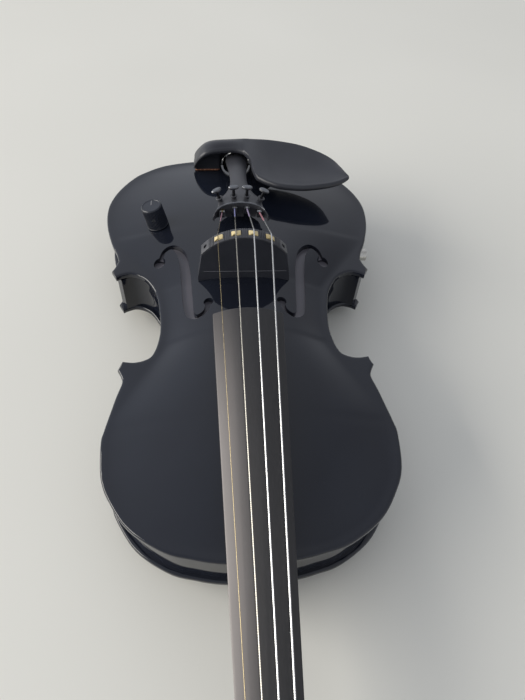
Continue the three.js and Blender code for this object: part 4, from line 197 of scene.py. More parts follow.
def rounded_plan(half_x, half_y, corner, middle_y, steps=12):
    """A rectangle with round corners, seen from above."""
    ring = []
    for turn, (sx, sy) in enumerate(((1, 1), (-1, 1), (-1, -1), (1, -1))):
        for i in range(steps + 1):
            angle = math.pi / 2 * (turn + i / steps)
            ring.append((sx * (half_x - corner) + corner * math.cos(angle),
                         middle_y + sy * (half_y - corner) + corner * math.sin(angle)))
    return ring


# Body: outline, arches and ribs

BODY_LENGTH = 355
LOWER_BOUT_HALF = 105.3
CORNER_FACE = 6.6
# Marks as shares of the lower bout's half and of the body's length, and the points of each stretch
# between two marks as shares of the way across and along.
OUTLINE_MARKS = {
    "upper_bout": (0.8167, 0.1986), "upper_neck": (0.7417, 0.3163), "upper_tip": (0.7768, 0.3445),
    "waist": (0.5413, 0.4394), "lower_tip": (0.8993, 0.5952), "lower_neck": (0.8661, 0.6296),
    "lower_bout": (1, 0.7831),
}
TO_UPPER_BOUT = ((0, 0), (0.233, 0.024), (0.384, 0.06), (0.558, 0.123), (0.767, 0.291), (0.899, 0.505),
                 (0.971, 0.704), (1, 1))
TO_UPPER_CORNER = ((0.114, 0.203), (0.405, 0.49), (0.709, 0.775), (1, 1))
UPPER_CORNER = ((0.27, 0.47), (1, 1))
TO_WAIST = ((0, 0), (0.38, -0.03), (0.73, 0.08), (0.88, 0.29), (0.965, 0.6), (1, 1))
TO_LOWER_CORNER = ((0.044, 0.34), (0.124, 0.63), (0.247, 0.823), (0.388, 0.966), (0.547, 1.045),
                   (0.72, 1.08), (0.88, 1.05), (1, 1))
LOWER_CORNER = ((0, 0), (0.63, 0.43), (0.97, 0.8), (1, 1))
TO_LOWER_BOUT = ((0.163, 0.15), (0.383, 0.275), (0.61, 0.45), (0.865, 0.706), (1, 1))
TO_TAIL = ((0.01, 0.195), (0.063, 0.416), (0.16, 0.638), (0.248, 0.755), (0.383, 0.877), (0.544, 0.948),
           (0.715, 0.987), (1, 1))
TOP_EDGE = 5
RIB_HEIGHT = 30
BACK_EDGE = 4.5
EDGE_ROUND = 1.6
TOP_ARCH = 14
BACK_ARCH = 10
ARCH_MARGIN = 4
RIB_INSET = 3
BUTTON_HALF = 10.5
BUTTON_REACH = 12
BUTTON_STRETCH = 60
OUTLINE_STEPS = 9
CLOSEST_POINTS = 0.05
FIT_GAP = 0.15


def stretch(marks, begin, end, shares):
    """The points of the outline from one mark to another."""
    (x, y), (end_x, end_y) = marks[begin], marks[end]
    return [(x + (end_x - x) * across, y + (end_y - y) * along) for across, along in shares]


def outline_marks(inset):
    """The outline's marks in the drawing, moved inwards, with the two ends of each corner's face."""
    marks = {name: (LOWER_BOUT_HALF * across - inset, BODY_LENGTH * along)
             for name, (across, along) in OUTLINE_MARKS.items()}
    face = CORNER_FACE / math.sqrt(2)
    upper, lower = marks["upper_tip"], marks["lower_tip"]
    marks["upper_heel"] = (upper[0] - face / 2, upper[1] + CORNER_FACE - inset / 2)
    marks["lower_heel"] = (lower[0] - face * 0.8, lower[1] - CORNER_FACE + inset / 2)
    marks["neck"] = (0, inset)
    marks["tail"] = (0, BODY_LENGTH - inset)
    return marks


def body_outline(inset, button=False):
    """The body's outline, anticlockwise from the neck end; the corners stay crisp between stretches."""
    marks = outline_marks(inset)
    upper = (stretch(marks, "neck", "upper_bout", TO_UPPER_BOUT)
             + stretch(marks, "upper_bout", "upper_neck", TO_UPPER_CORNER)
             + stretch(marks, "upper_neck", "upper_tip", UPPER_CORNER))
    waist = (stretch(marks, "upper_heel", "waist", TO_WAIST)
             + stretch(marks, "waist", "lower_heel", TO_LOWER_CORNER))
    lower = (stretch(marks, "lower_tip", "lower_neck", LOWER_CORNER)
             + stretch(marks, "lower_neck", "lower_bout", TO_LOWER_BOUT)
             + stretch(marks, "lower_bout", "tail", TO_TAIL))
    half = through(upper, OUTLINE_STEPS) + through(waist, OUTLINE_STEPS) + through(lower, OUTLINE_STEPS)
    half = [p for i, p in enumerate(half) if i == 0 or math.dist(p, half[i - 1]) > CLOSEST_POINTS]
    if button:
        turns = [i * math.pi / 48 for i in range(25)]
        arc = [(BUTTON_HALF * math.sin(a), -BUTTON_REACH * math.cos(a)) for a in turns]
        half = arc + [p for p in half if p[0] > BUTTON_HALF + EDGE_ROUND or p[1] > BUTTON_STRETCH]
    return half + [(-x, y) for x, y in reversed(half[1:-1])]


def arch_edge():
    """The rim of the arched field, which passes the corners by in one smooth line."""
    marks = outline_marks(ARCH_MARGIN)
    points = (stretch(marks, "neck", "upper_bout", TO_UPPER_BOUT)
              + stretch(marks, "upper_bout", "upper_neck", TO_UPPER_CORNER[:2])
              + stretch(marks, "upper_heel", "waist", TO_WAIST[-3:])
              + stretch(marks, "waist", "lower_heel", TO_LOWER_CORNER[:3])
              + stretch(marks, "lower_neck", "lower_bout", TO_LOWER_BOUT[1:])
              + stretch(marks, "lower_bout", "tail", TO_TAIL))
    return through(points, 24)


ARCH_EDGE = arch_edge()
ARCH_EDGE_Y = list(accumulate((y for _, y in ARCH_EDGE), max))
ARCH_FIRST_Y = ARCH_MARGIN + BODY_LENGTH * 0.006
ARCH_LAST_Y = BODY_LENGTH - ARCH_FIRST_Y


def arch_share(x, y):
    """Share of the full arch at a point: 1 in the middle, 0 at the rim of the arched field."""
    if not ARCH_FIRST_Y < y < ARCH_LAST_Y:
        return 0.0
    after = bisect.bisect_left(ARCH_EDGE_Y, y)
    (ax, ay), (bx, by) = ARCH_EDGE[after - 1], ARCH_EDGE[after]
    half = ax + (bx - ax) * (y - ay) / max(by - ay, 1e-4)
    if abs(x) >= half:
        return 0.0
    along = abs(2 * y - ARCH_FIRST_Y - ARCH_LAST_Y) / (ARCH_LAST_Y - ARCH_FIRST_Y)
    return (1 - (abs(x) / half) ** 3) ** 1.6 * (1 - along ** 3) ** 1.1


def top_height(x, y):
    return TOP_ARCH * arch_share(x, y)


def back_height(x, y):
    """The back's arch, which ends in a flat middle."""
    return BACK_ARCH * min(1, arch_share(x, y) * 1.6)


def measured_from(contour):
    """A function of a point that gives its distance to the contour."""
    count = len(contour)
    tree = kdtree.KDTree(count)
    for i, (x, y) in enumerate(contour):
        tree.insert((x, y, 0), i)
    tree.balance()

    def distance(x, y):
        _, i, _ = tree.find((x, y, 0))
        here = Vector((x, y))
        nearest = math.inf
        for a, b in ((i - 1, i), (i, (i + 1) % count)):
            a, b = Vector(contour[a]), Vector(contour[b])
            share = max(0, min(1, (here - a).dot(b - a) / (b - a).length_squared))
            nearest = min(nearest, (here - a - (b - a) * share).length)
        return nearest

    return distance


EDGE_TURNS = (20, 40, 62, 90)
TRIANGLE_ROW = 0.866


def edge_points(contour, depth):
    """The contour, and the rows of points inside it that its rounded edge needs."""
    points = [Vector(p) for p in contour]
    for turn in EDGE_TURNS:
        inset = EDGE_ROUND * (1 - math.cos(math.radians(turn)))
        for i, place in enumerate(contour):
            along = (Vector(contour[(i + 1) % len(contour)]) - Vector(contour[i - 1])).normalized()
            point = Vector(place) + Vector((-along.y, along.x)) * inset
            if depth(*point) > inset * 0.97:
                points.append(point)
    return points


def field_points(spacing, depth):
    """Points in rows of even triangles, over the whole plate inside its rounded edge."""
    points = []
    columns = int(LOWER_BOUT_HALF / spacing)
    for row in range(int(BODY_LENGTH / (spacing * TRIANGLE_ROW)) + 12):
        for column in range(-columns - 1, columns + 2):
            across = (column + (row % 2) / 2) * spacing
            point = Vector((across, -BUTTON_REACH + row * spacing * TRIANGLE_ROW))
            if depth(*point) > EDGE_ROUND + spacing * 0.3:
                points.append(point)
    return points


def arched_plate(name, contour, thickness, height_at, spacing, flip_at=None):
    """A plate with a rounded edge at z = 0 and an arched face; flip_at turns it over at that height."""
    count = len(contour)
    depth = measured_from(contour)
    edge = edge_points(contour, depth)
    points, faces, rims = [], [], []
    for marks, facing in ((edge + field_points(spacing, depth), 1), (edge, -1)):
        spots, _, patches, _, _, _ = geometry.delaunay_2d_cdt(marks, [], [list(range(count))], 1, 1e-5)
        used = sorted({i for patch in patches for i in patch})
        number = {old: len(points) + new for new, old in enumerate(used)}
        for old in used:
            x, y = spots[old]
            left = max(0, EDGE_ROUND - depth(x, y))
            drop = EDGE_ROUND - math.sqrt(EDGE_ROUND ** 2 - left ** 2)
            points.append((x, y, height_at(x, y) - drop if facing > 0 else drop - thickness))
        faces += [tuple(number[i] for i in patch) for patch in patches]
        rims.append([number[i] for i in range(count)])
    over, under = rims
    faces += [(over[i], over[(i + 1) % count], under[(i + 1) % count], under[i]) for i in range(count)]
    if flip_at is not None:
        points = [(x, y, flip_at - z) for x, y, z in points]
    return solid(name, points, faces)


# Across the hole's span, along its length, and its width as a share of the widest.
F_HOLE_LINE = ((0.403, 0.169, 0.5), (0.436, 0.06, 0.45), (0.53, 0.014, 0.5), (0.605, 0.075, 0.75),
               (0.632, 0.211, 0.95), (0.656, 0.451, 1), (0.68, 0.69, 0.95), (0.724, 0.873, 0.85),
               (0.824, 0.985, 0.55), (0.93, 0.955, 0.45), (0.985, 0.825, 0.4))
F_HOLE_SPAN = LOWER_BOUT_HALF * 0.5793
F_HOLE_START = BODY_LENGTH * 0.4394
F_HOLE_LENGTH = BODY_LENGTH * 0.2
F_HOLE_WIDTH = 7.2
F_HOLE_DEPTH = 3.6
F_HOLE_EYES = (3.3, 4.3)
WELL_ABOVE = 40


def f_hole_cutters(side):
    """One f-hole's winding slot and its two round eyes, with floors that follow the arch."""
    places = [(side * F_HOLE_SPAN * a, F_HOLE_START + F_HOLE_LENGTH * b, w) for a, b, w in F_HOLE_LINE]
    line = through(places, 8)
    rings = []
    for i, (x, y, wide) in enumerate(line):
        before = Vector(line[max(0, i - 1)][:2])
        after = Vector(line[min(len(line) - 1, i + 1)][:2])
        along = (after - before).normalized()
        half = F_HOLE_WIDTH / 2 * wide
        floor = top_height(x, y) - F_HOLE_DEPTH
        rings.append([(x - sign * along.y * half, y + sign * along.x * half, z)
                      for sign, z in ((1, floor), (-1, floor), (-1, WELL_ABOVE), (1, WELL_ABOVE))])
    cutters = [loft("f_hole_cutter", rings)]
    for (x, y, _), radius in zip((places[0], places[-1]), F_HOLE_EYES):
        floor = top_height(x, y) - F_HOLE_DEPTH
        cutters.append(turned("f_hole_eye_cutter", [(radius, floor), (radius, WELL_ABOVE)], (x, y, 0)))
    return cutters


KNOB_AT = (-LOWER_BOUT_HALF * 0.5964, BODY_LENGTH * 0.7155)
KNOB_FOOT = (*KNOB_AT, top_height(*KNOB_AT))
KNOB_LEAN = -0.2
CONTROL_SEAT = (6.6, 0.3)
CONTROL_BORE = (4.25, 30)
SADDLE_HALF = 13
SADDLE_LENGTH = 8
SADDLE_SEAT_REACH = 9
# A face is an f-hole's floor where it lies this deep in the hole, faces up and is clear of the control.
FLOOR_DEPTH = F_HOLE_DEPTH * 0.8
FLOOR_FACING = 0.7
CONTROL_CLEAR = 12


def make_top():
    """The carved top with its f-holes, its control's seat and bore, and the saddle's notch; the floors of
    the f-holes are marked for a rougher lacquer and a painted pale reflection."""
    top = arched_plate("carved_top", body_outline(0), TOP_EDGE, top_height, spacing=2.3)
    radius, sunk = CONTROL_SEAT
    seat = turned("control_seat", [(radius, -sunk), (radius, WELL_ABOVE)], KNOB_FOOT, KNOB_LEAN)
    radius, length = CONTROL_BORE
    bore = turned("control_bore", [(radius, -length), (radius, 2)], KNOB_FOOT, KNOB_LEAN)
    half = SADDLE_HALF + FIT_GAP
    plan = rectangle(-half, half, BODY_LENGTH - SADDLE_LENGTH - FIT_GAP, BODY_LENGTH + SADDLE_SEAT_REACH)
    notch = upright("saddle_seat", plan, -SADDLE_SEAT_REACH, SADDLE_SEAT_REACH)
    carve(top, f_hole_cutters(-1) + f_hole_cutters(1) + [seat, bore, notch])
    # The f-holes' floors get a rougher lacquer and a painted pale grey reflection.
    dull_floor_painted_reflection = top.data.attributes.new("dull_floor_painted_reflection", "FLOAT", "FACE")
    for face in top.data.polygons:
        x, y, z = face.center * MM_PER_METRE - DRAWING_ORIGIN
        in_hole = top_height(x, y) - z > FLOOR_DEPTH and math.dist((x, y), KNOB_AT) > CONTROL_CLEAR
        dull_floor_painted_reflection.data[face.index].value = 1.0 if in_hole and face.normal.z > FLOOR_FACING else 0.0
    return top


JACK_AT = (BODY_LENGTH * 0.6958, -18)
JACK_SEAT_X = 94.5
JACK_SEAT_RADIUS = 9
JACK_BORE_RADIUS = 6.6
JACK_BORE_DEPTH = 32


def make_ribs():
    """The ribs, set in under the plates' edges, with the jack's flat seat and its bore."""
    ribs = upright("ribs", body_outline(RIB_INSET), -TOP_EDGE, -TOP_EDGE - RIB_HEIGHT)
    seat = lying("jack_seat", [(JACK_SEAT_RADIUS, 0), (JACK_SEAT_RADIUS, 30)], (JACK_SEAT_X, *JACK_AT))
    bore = lying("jack_bore", [(JACK_BORE_RADIUS, 0), (JACK_BORE_RADIUS, 40)],
                 (JACK_SEAT_X - JACK_BORE_DEPTH, *JACK_AT))
    return carve(ribs, [seat, bore])


COVER_HALF = 36
COVER_LENGTH = 132
COVER_CORNER = 9
COVER_CENTRE_Y = BODY_LENGTH * 0.3662 + COVER_LENGTH / 2
COVER_THICKNESS = 2.4
BACK_Z = -TOP_EDGE - RIB_HEIGHT - BACK_EDGE - BACK_ARCH


def make_back():
    """The arched back with the neck's button and the recess of its cover."""
    back = arched_plate("carved_back", body_outline(0, button=True), BACK_EDGE, back_height, spacing=2.8,
                        flip_at=-TOP_EDGE - RIB_HEIGHT - BACK_EDGE)
    plan = rounded_plan(COVER_HALF + FIT_GAP, COVER_LENGTH / 2 + FIT_GAP, COVER_CORNER + FIT_GAP,
                        COVER_CENTRE_Y)
    return carve(back, [upright("cover_recess", plan, BACK_Z - 5, BACK_Z + COVER_THICKNESS)])


# Fingerboard

BOARD_LENGTH = 270
BOARD_END_Y = BODY_LENGTH * 0.3944
BOARD_START_Y = BOARD_END_Y - BOARD_LENGTH
BOARD_NUT_HALF = 12
BOARD_END_HALF = 21.6
BOARD_RADIUS = 42
BOARD_EDGE = 5
BOARD_SOFT_EDGE = 0.9
BOARD_SOFT_END = 0.8
BOARD_HOLLOW = 3.2
BOARD_HOLLOW_WALL = 4.2
BOARD_HOLLOW_START_Y = 11.2
BOARD_TOP_AT_BODY = 16.8
BOARD_SLOPE = 0.1385
BOARD_UV = "across_the_board"


def board_top(y):
    return BOARD_TOP_AT_BODY + BOARD_SLOPE * y


def board_half(y):
    return BOARD_NUT_HALF + (BOARD_END_HALF - BOARD_NUT_HALF) * (y - BOARD_START_Y) / BOARD_LENGTH


def board_under(y):
    """The flat underside, which runs straight between the sides' lower edges at the two ends."""
    start, end = [board_top(at) - board_half(at) ** 2 / (2 * BOARD_RADIUS) - BOARD_EDGE
                  for at in (BOARD_START_Y, BOARD_END_Y)]
    return start + (end - start) * (y - BOARD_START_Y) / BOARD_LENGTH


def board_ring(y, drawn_in=0.0):
    """The board's section: a crowned top, soft upper edges, straight sides and a flat underside."""
    half = board_half(y) - drawn_in
    top = board_top(y) - drawn_in
    inner = half - BOARD_SOFT_EDGE
    shoulder = top - inner ** 2 / (2 * BOARD_RADIUS)
    crown = [inner * (1 - i / 24) for i in range(49)]
    side = [(inner + BOARD_SOFT_EDGE * math.sin(a), shoulder - BOARD_SOFT_EDGE * (1 - math.cos(a)))
            for a in map(math.radians, (35, 65, 90))]
    side.append((half, board_under(y) + drawn_in))
    return ([(x, y, top - x * x / (2 * BOARD_RADIUS)) for x in crown]
            + [(-x, y, z) for x, z in side]
            + [(x, y, z) for x, z in reversed(side)])


def make_fingerboard():
    """The board with its hollow underside, and a map of how far across it each point lies."""
    reach = BOARD_LENGTH - BOARD_SOFT_END
    rings = [board_ring(BOARD_START_Y + reach * i / 40) for i in range(41)]
    rings += [board_ring(BOARD_END_Y - 0.3, 0.15), board_ring(BOARD_END_Y, 0.6)]
    hollow = []
    for y in (BOARD_HOLLOW_START_Y, BOARD_END_Y + 6):
        half = board_half(y) - BOARD_HOLLOW_WALL
        under = board_under(y)
        vault = [half * (1 - i / 12) for i in range(25)]
        hollow.append([(x, y, under + BOARD_HOLLOW * (1 - (x / half) ** 2)) for x in vault]
                      + [(-half, y, under - 3), (half, y, under - 3)])
    board = carve(loft("played_fingerboard", rings), [loft("board_hollow", hollow)])
    across = board.data.uv_layers.new(name=BOARD_UV)
    for loop in board.data.loops:
        x, y, z = board.data.vertices[loop.vertex_index].co * MM_PER_METRE - DRAWING_ORIGIN
        # Height counts a little too, so that the map isn't squashed flat on the upright sides.
        share = 0.5 + x / board_half(y) / 2 + (z - board_top(y)) / 200
        across.data[loop.index].uv = (share, y / MM_PER_METRE)
    return board


# Tailpiece

TAILPIECE_GAP = 7
TAILPIECE_LENGTH = 92
TAILPIECE_Y = BODY_LENGTH - SADDLE_LENGTH - TAILPIECE_GAP - TAILPIECE_LENGTH
TAILPIECE_TOP_Z = 31
TAILPIECE_DROP = 12.6
TAILPIECE_HALF = 20.6
TAILPIECE_CROWN = 5.8
TAILPIECE_DEPTH = 12
TAILPIECE_FLARE = 9
TAILPIECE_MOUTH_HALF = 19.6
TAILPIECE_SHELL = 2.2
TAILPIECE_POCKET = 13.5
FRET_WIDTH = 1.6
FRET_RISE = 0.7
FRET_SPAN_SHARE = 0.86
# Along the strip and above its foot, as a section that the strings bend over.
FRET_SECTION = ((0.02, -1), (FRET_WIDTH, -1), (FRET_WIDTH, 0.3), (FRET_WIDTH * 0.8, 0.85),
                (FRET_WIDTH * 0.5, 1.02), (FRET_WIDTH * 0.2, 0.85), (0.02, 0.3))
TUNER_Y = TAILPIECE_Y + 10
AXLE_Y = TAILPIECE_Y + 5
AXLE_HEIGHT = 3
AXLE_RADIUS = 0.9
SEAT_GAP = 0.3
LEVER_LANE_HALF = 2.1
TUNER_SPLAY = 0.3
STEM_BORE_RADIUS = 1.35
# Radius, and height above the deck.
COLLAR_PROFILE = ((1.9, -2.2), (1.9, 0.7), (2.25, 1.5), (2.7, 2), (2.7, 2.45), (2.5, 2.6))
FLANK_SHARES = (0.3, 0.65, 1)
# Along the length, then shares of the half width, the crown and the depth.
TAILPIECE_STATIONS = (
    (-0.09, 1.02, 1.04, 1), (-0.045, 0.985, 0.97, 1), (0, 0.9, 0.81, 1), (0.0435, 0.845, 0.714, 1),
    (0.098, 0.825, 0.681, 1), (0.152, 0.78, 0.608, 0.95), (0.217, 0.56, 0.45, 0.84),
    (0.326, 0.39, 0.38, 0.68), (0.4565, 0.325, 0.34, 0.58), (0.598, 0.335, 0.34, 0.6),
    (0.696, 0.37, 0.38, 0.66), (0.793, 0.42, 0.42, 0.68), (0.88, 0.455, 0.44, 0.68),
    (0.925, 0.44, 0.44, 0.66), (0.957, 0.385, 0.42, 0.62), (0.98, 0.29, 0.38, 0.57),
    (0.993, 0.18, 0.34, 0.53), (1, 0.07, 0.32, 0.5))


def four_lanes(half):
    """The four strings' places across, evenly spread, from e to g."""
    return (-half, -half / 3, half / 3, half)


LANES = four_lanes(13.7)


def deck_at(y):
    return TAILPIECE_TOP_Z - TAILPIECE_DROP * (y - TAILPIECE_Y) / TAILPIECE_LENGTH


def deck_top(x, y):
    """Height of the crowned deck near the tailpiece's front."""
    return deck_at(y) - TAILPIECE_CROWN * (x / TAILPIECE_HALF) ** 2


def front_at(x):
    """The flared mouth's inner edge, as far along as the front strip ends."""
    left = max(0, 1 - (x / TAILPIECE_MOUTH_HALF) ** 4)
    return TAILPIECE_Y + FRET_WIDTH - TAILPIECE_FLARE * (1 - math.sqrt(left))


def tailpiece_ring(station):
    """The shell's section: a crowned deck, bowed flanks, and an underside that turns in."""
    along, wide, crown, deep = station
    y = TAILPIECE_Y + TAILPIECE_LENGTH * along
    half = TAILPIECE_HALF * wide
    drop = TAILPIECE_CROWN * crown
    top = deck_at(y)
    depth = TAILPIECE_DEPTH * deep
    under = top - depth
    side = top - drop - max(0, depth - drop) * 0.45
    deck = [half * 0.95 * (1 - i / 16) for i in range(33)]
    edge = top - drop * (deck[-1] / half) ** 2
    flank = [(half * (0.95 + 0.05 * math.sin(share * math.pi / 2)), edge + (side - edge) * share)
             for share in FLANK_SHARES]
    flank += [(half * 0.93, under + (side - under) * 0.4), (half * 0.8, under)]
    return ([(x, y, top - drop * (x / half) ** 2) for x in deck]
            + [(-x, y, z) for x, z in flank]
            + [(x, y, z) for x, z in reversed(flank)])


def tuner_foot(lane):
    """The lower end of a tuner's stem, just above the axle."""
    return (lane, TUNER_Y, deck_at(AXLE_Y) - TAILPIECE_DEPTH + AXLE_HEIGHT + AXLE_RADIUS + SEAT_GAP)


def tuner_lean(lane):
    """How far a tuner leans outwards, in radians."""
    share = lane / LANES[3]
    return TUNER_SPLAY * share * abs(share)


def stem_to_deck(lane):
    return (deck_top(lane, TUNER_Y) - tuner_foot(lane)[2]) / math.cos(tuner_lean(lane))


def tuner_slot(lane):
    """Cutter for the slot under the deck that one lever rocks in."""
    top = deck_top(lane, TAILPIECE_Y) - TAILPIECE_SHELL
    slope = TAILPIECE_DROP / TAILPIECE_LENGTH
    plan = rectangle(lane - LEVER_LANE_HALF, lane + LEVER_LANE_HALF,
                     TAILPIECE_Y - TAILPIECE_FLARE, TAILPIECE_Y + TAILPIECE_POCKET)
    return loft("tuner_lane", [[(x, y, z - slope * (y - TAILPIECE_Y)) for x, y in plan]
                               for z in (top - 2 * TAILPIECE_DEPTH, top)])


def tuner_collar(lane):
    """The flared collar on the deck round a tuner's stem."""
    deck = stem_to_deck(lane)
    profile = [(radius, deck + above) for radius, above in COLLAR_PROFILE]
    return turned("tuner_collar", profile, tuner_foot(lane), tuner_lean(lane), sides=40)


def stem_bore(lane):
    profile = [(STEM_BORE_RADIUS, 0), (STEM_BORE_RADIUS, 30)]
    return turned("stem_bore", profile, tuner_foot(lane), tuner_lean(lane), sides=32)


def make_tailpiece():
    """The crowned shell with its flared mouth, its four tuner slots, collars and bores."""
    shell = loft("tailpiece_shell", [tailpiece_ring(s) for s in through(TAILPIECE_STATIONS, 6)])
    curve = [TAILPIECE_MOUTH_HALF * math.sin(math.pi / 2 * (1 - i / 30)) for i in range(61)]
    before = TAILPIECE_Y - 20
    plan = [(x, front_at(x)) for x in curve]
    plan += [(-TAILPIECE_MOUTH_HALF, before), (TAILPIECE_MOUTH_HALF, before)]
    mouth = upright("tailpiece_mouth", plan, 0, 60)
    slots = [tuner_slot(lane) for lane in LANES]
    bores = [stem_bore(lane) for lane in LANES]
    carve(shell, [tuner_collar(lane) for lane in LANES], "UNION")
    return carve(shell, [mouth, *slots, *bores])


def make_end_fret():
    """The bright strip along the tailpiece's front edge, which the strings bend over."""
    rings = []
    for i in range(61):
        x = TAILPIECE_HALF * FRET_SPAN_SHARE * (1 - i / 30)
        y = front_at(x)
        z = deck_top(x, y)
        rings.append([(x, y + along, z + up * FRET_RISE) for along, up in FRET_SECTION])
    return loft("end_fret", rings)


# Bridge: its cap and blocks turn about one arc, and leans are in radians round that arc

BRIDGE_LANES = four_lanes(17.5)
BRIDGE_AT = (BODY_LENGTH * 0.5437, 13.3)
BRIDGE_ARC = 36
BRIDGE_THICKNESS = 9
RIB_GROUPS = (-0.65, -0.325, 0, 0.325, 0.65)
RIB_PITCH = 0.034
GROOVE_HALF = 0.25
GROOVE_REACH = 6
GROOVE_DEPTH = 0.45
CAP_SCREW_LEAN = 0.807
CAP_SCREW_SEAT = 1.55
BLOCK_HALF = 2
BLOCK_WAIST = 0.75
WAIST_RADIUS = 3.2
SEAM_ENDS = (-27.5, 0, 29)
# Out of the bridge's face, and height.
SEAM_SECTION = ((-0.1, 19.7), (0.12, 19.8), (0.12, 20), (-0.1, 20.1))


def rib_the_cap(cap):
    """Fine grooves across the bridge cap between the blocks, and the sunk seats of its two screws."""
    middle = (0, *BRIDGE_AT)
    groove = rectangle(-GROOVE_HALF, GROOVE_HALF, -GROOVE_REACH, GROOVE_REACH)
    cutters = []
    for lean in [group + RIB_PITCH * step for group in RIB_GROUPS for step in (-1.5, -0.5, 0.5, 1.5)]:
        cutters.append(loft("cap_groove", [[leaning((x, y, z), lean, middle) for x, y in groove]
                                           for z in (BRIDGE_ARC - GROOVE_DEPTH, BRIDGE_ARC + 2)]))
    seat = [(CAP_SCREW_SEAT, BRIDGE_ARC - 3), (CAP_SCREW_SEAT, BRIDGE_ARC + 3)]
    for lean in (-CAP_SCREW_LEAN, CAP_SCREW_LEAN):
        cutters.append(turned("screw_seat", seat, middle, lean, sides=32))
    return carve(cap, cutters)


def waist_the_block(block, lane):
    """The block's waist, where the string crosses it."""
    reach = BLOCK_HALF + WAIST_RADIUS - BLOCK_WAIST
    return carve(block, [turned("waist_cutter", [(WAIST_RADIUS, 20), (WAIST_RADIUS, 70)],
                                (lane, BRIDGE_AT[0] + side * reach, 0)) for side in (-1, 1)])


def make_seam_bead():
    """The raised parting bead across the bridge's face."""
    face = BRIDGE_AT[0] - BRIDGE_THICKNESS / 2
    return loft("bridge_seam_bead", [[(x, face - out, z) for out, z in SEAM_SECTION] for x in SEAM_ENDS])


# Silk on the strings

STRING_RADII = (0.17, 0.34, 0.4, 0.44)
BALL_RADIUS = 1.5
LEVER_WIDTH = 3.6
STRING_SEAT = 0.15
BLOCK_RISE = 1.15
BLOCK_CROSSING = 2.1
# Share of the way from the tailpiece to the bridge, and thickness over the string.
SILK_STATIONS = ((0.03, 0.05), (0.05, 0.14), (0.42, 0.14), (0.45, 0.04))


def make_silk(i):
    """The silk over a string's last stretch before the tailpiece."""
    lane, radius = LANES[i], STRING_RADII[i]
    y = front_at(abs(lane) + LEVER_WIDTH / 2)
    tail = Vector((lane, y, deck_top(lane, y) - TAILPIECE_SHELL - BALL_RADIUS - STRING_SEAT))
    crest = BRIDGE_ARC + BLOCK_RISE + radius
    height = BRIDGE_AT[1] + math.sqrt(crest ** 2 - BRIDGE_LANES[i] ** 2)
    bridge = Vector((BRIDGE_LANES[i], BRIDGE_AT[0] + BLOCK_CROSSING, height))
    along = (bridge - tail).normalized()
    side = along.cross(Vector((0, 0, 1))).normalized()
    over = side.cross(along)
    turns = [math.pi * k / 10 for k in range(20)]
    rings = []
    for share, thick in SILK_STATIONS:
        centre = tail.lerp(bridge, share)
        rings.append([centre + (radius + thick) * (math.cos(a) * side + math.sin(a) * over) for a in turns])
    return loft("silk_wrap_" + STRINGS[i], rings)


# Saddle

SADDLE_RISE = 7.6
SADDLE_END_RISE = 0.6
SADDLE_FOOT_Z = -8.9
SADDLE_FALL = 6.5
GUT_HALF = 5
# Along from the saddle's inner side, and share of the height.
SADDLE_SECTION = ((0, 0.45), (1.5, 0.8), (3.2, 1), (6.2, 1), (7.3, 0.92), (7.9, 0.6))


def make_saddle():
    """The ebony saddle: full height under the two runs of gut, rounded down towards its ends."""
    first = BODY_LENGTH - SADDLE_LENGTH
    rings = []
    for i in range(53):
        x = SADDLE_HALF * (1 - i / 26)
        fall = min(1, max(0, abs(x) - GUT_HALF) / SADDLE_FALL)
        top = SADDLE_END_RISE + (SADDLE_RISE - SADDLE_END_RISE) * math.sqrt(1 - fall ** 2)
        over = [(x, first + along, top * share) for along, share in SADDLE_SECTION]
        rings.append([(x, over[0][1], SADDLE_FOOT_Z), *over, (x, over[-1][1], SADDLE_FOOT_Z)])
    return loft("rounded_saddle", rings)


# Chin rest

REST_LEFT_X = -37
REST_WIDTH = 126
REST_FRONT_Y = BODY_LENGTH - 81
REST_DEPTH = 72
REST_BACK_Y = BODY_LENGTH + 8
REST_RIM_Z = 28
REST_DISH = 6
REST_ROUND = 2.4
# Along the rest from its treble end, the front and back edges as shares of the depth, then shares of the
# rim's height, the dish and the thickness.
REST_STATIONS = (
    (0, 0.83, 0.92, 0.22, 0, 0.5), (0.003, 0.8, 0.935, 0.33, 0, 0.8), (0.012, 0.775, 0.943, 0.49, 0, 1),
    (0.032, 0.745, 0.95, 0.675, 0, 1), (0.06, 0.72, 0.948, 0.83, -0.15, 1),
    (0.095, 0.71, 0.947, 0.94, -0.25, 1), (0.15, 0.715, 0.952, 1, -0.3, 1),
    (0.262, 0.745, 0.974, 1, -0.25, 1), (0.321, 0.72, 0.985, 1, -0.15, 1),
    (0.346, 0.68, 0.99, 1, -0.05, 1), (0.375, 0.56, 0.988, 1, 0, 1), (0.384, 0.39, 0.985, 1, 0, 1),
    (0.403, 0.22, 0.983, 1, 0.04, 1), (0.43, 0.16, 0.98, 1, 0.16, 1), (0.476, 0.096, 0.975, 1, 0.45, 1),
    (0.548, 0.03, 0.955, 1, 0.82, 1), (0.671, 0, 0.895, 1, 1, 1), (0.758, 0.014, 0.82, 1, 0.95, 1),
    (0.857, 0.055, 0.695, 0.99, 0.75, 0.95), (0.92, 0.1, 0.57, 0.98, 0.5, 0.85),
    (0.956, 0.14, 0.445, 0.97, 0.3, 0.75), (0.984, 0.18, 0.33, 0.955, 0.1, 0.6),
    (1, 0.215, 0.26, 0.94, 0, 0.45))
REST_THICKNESS = 5


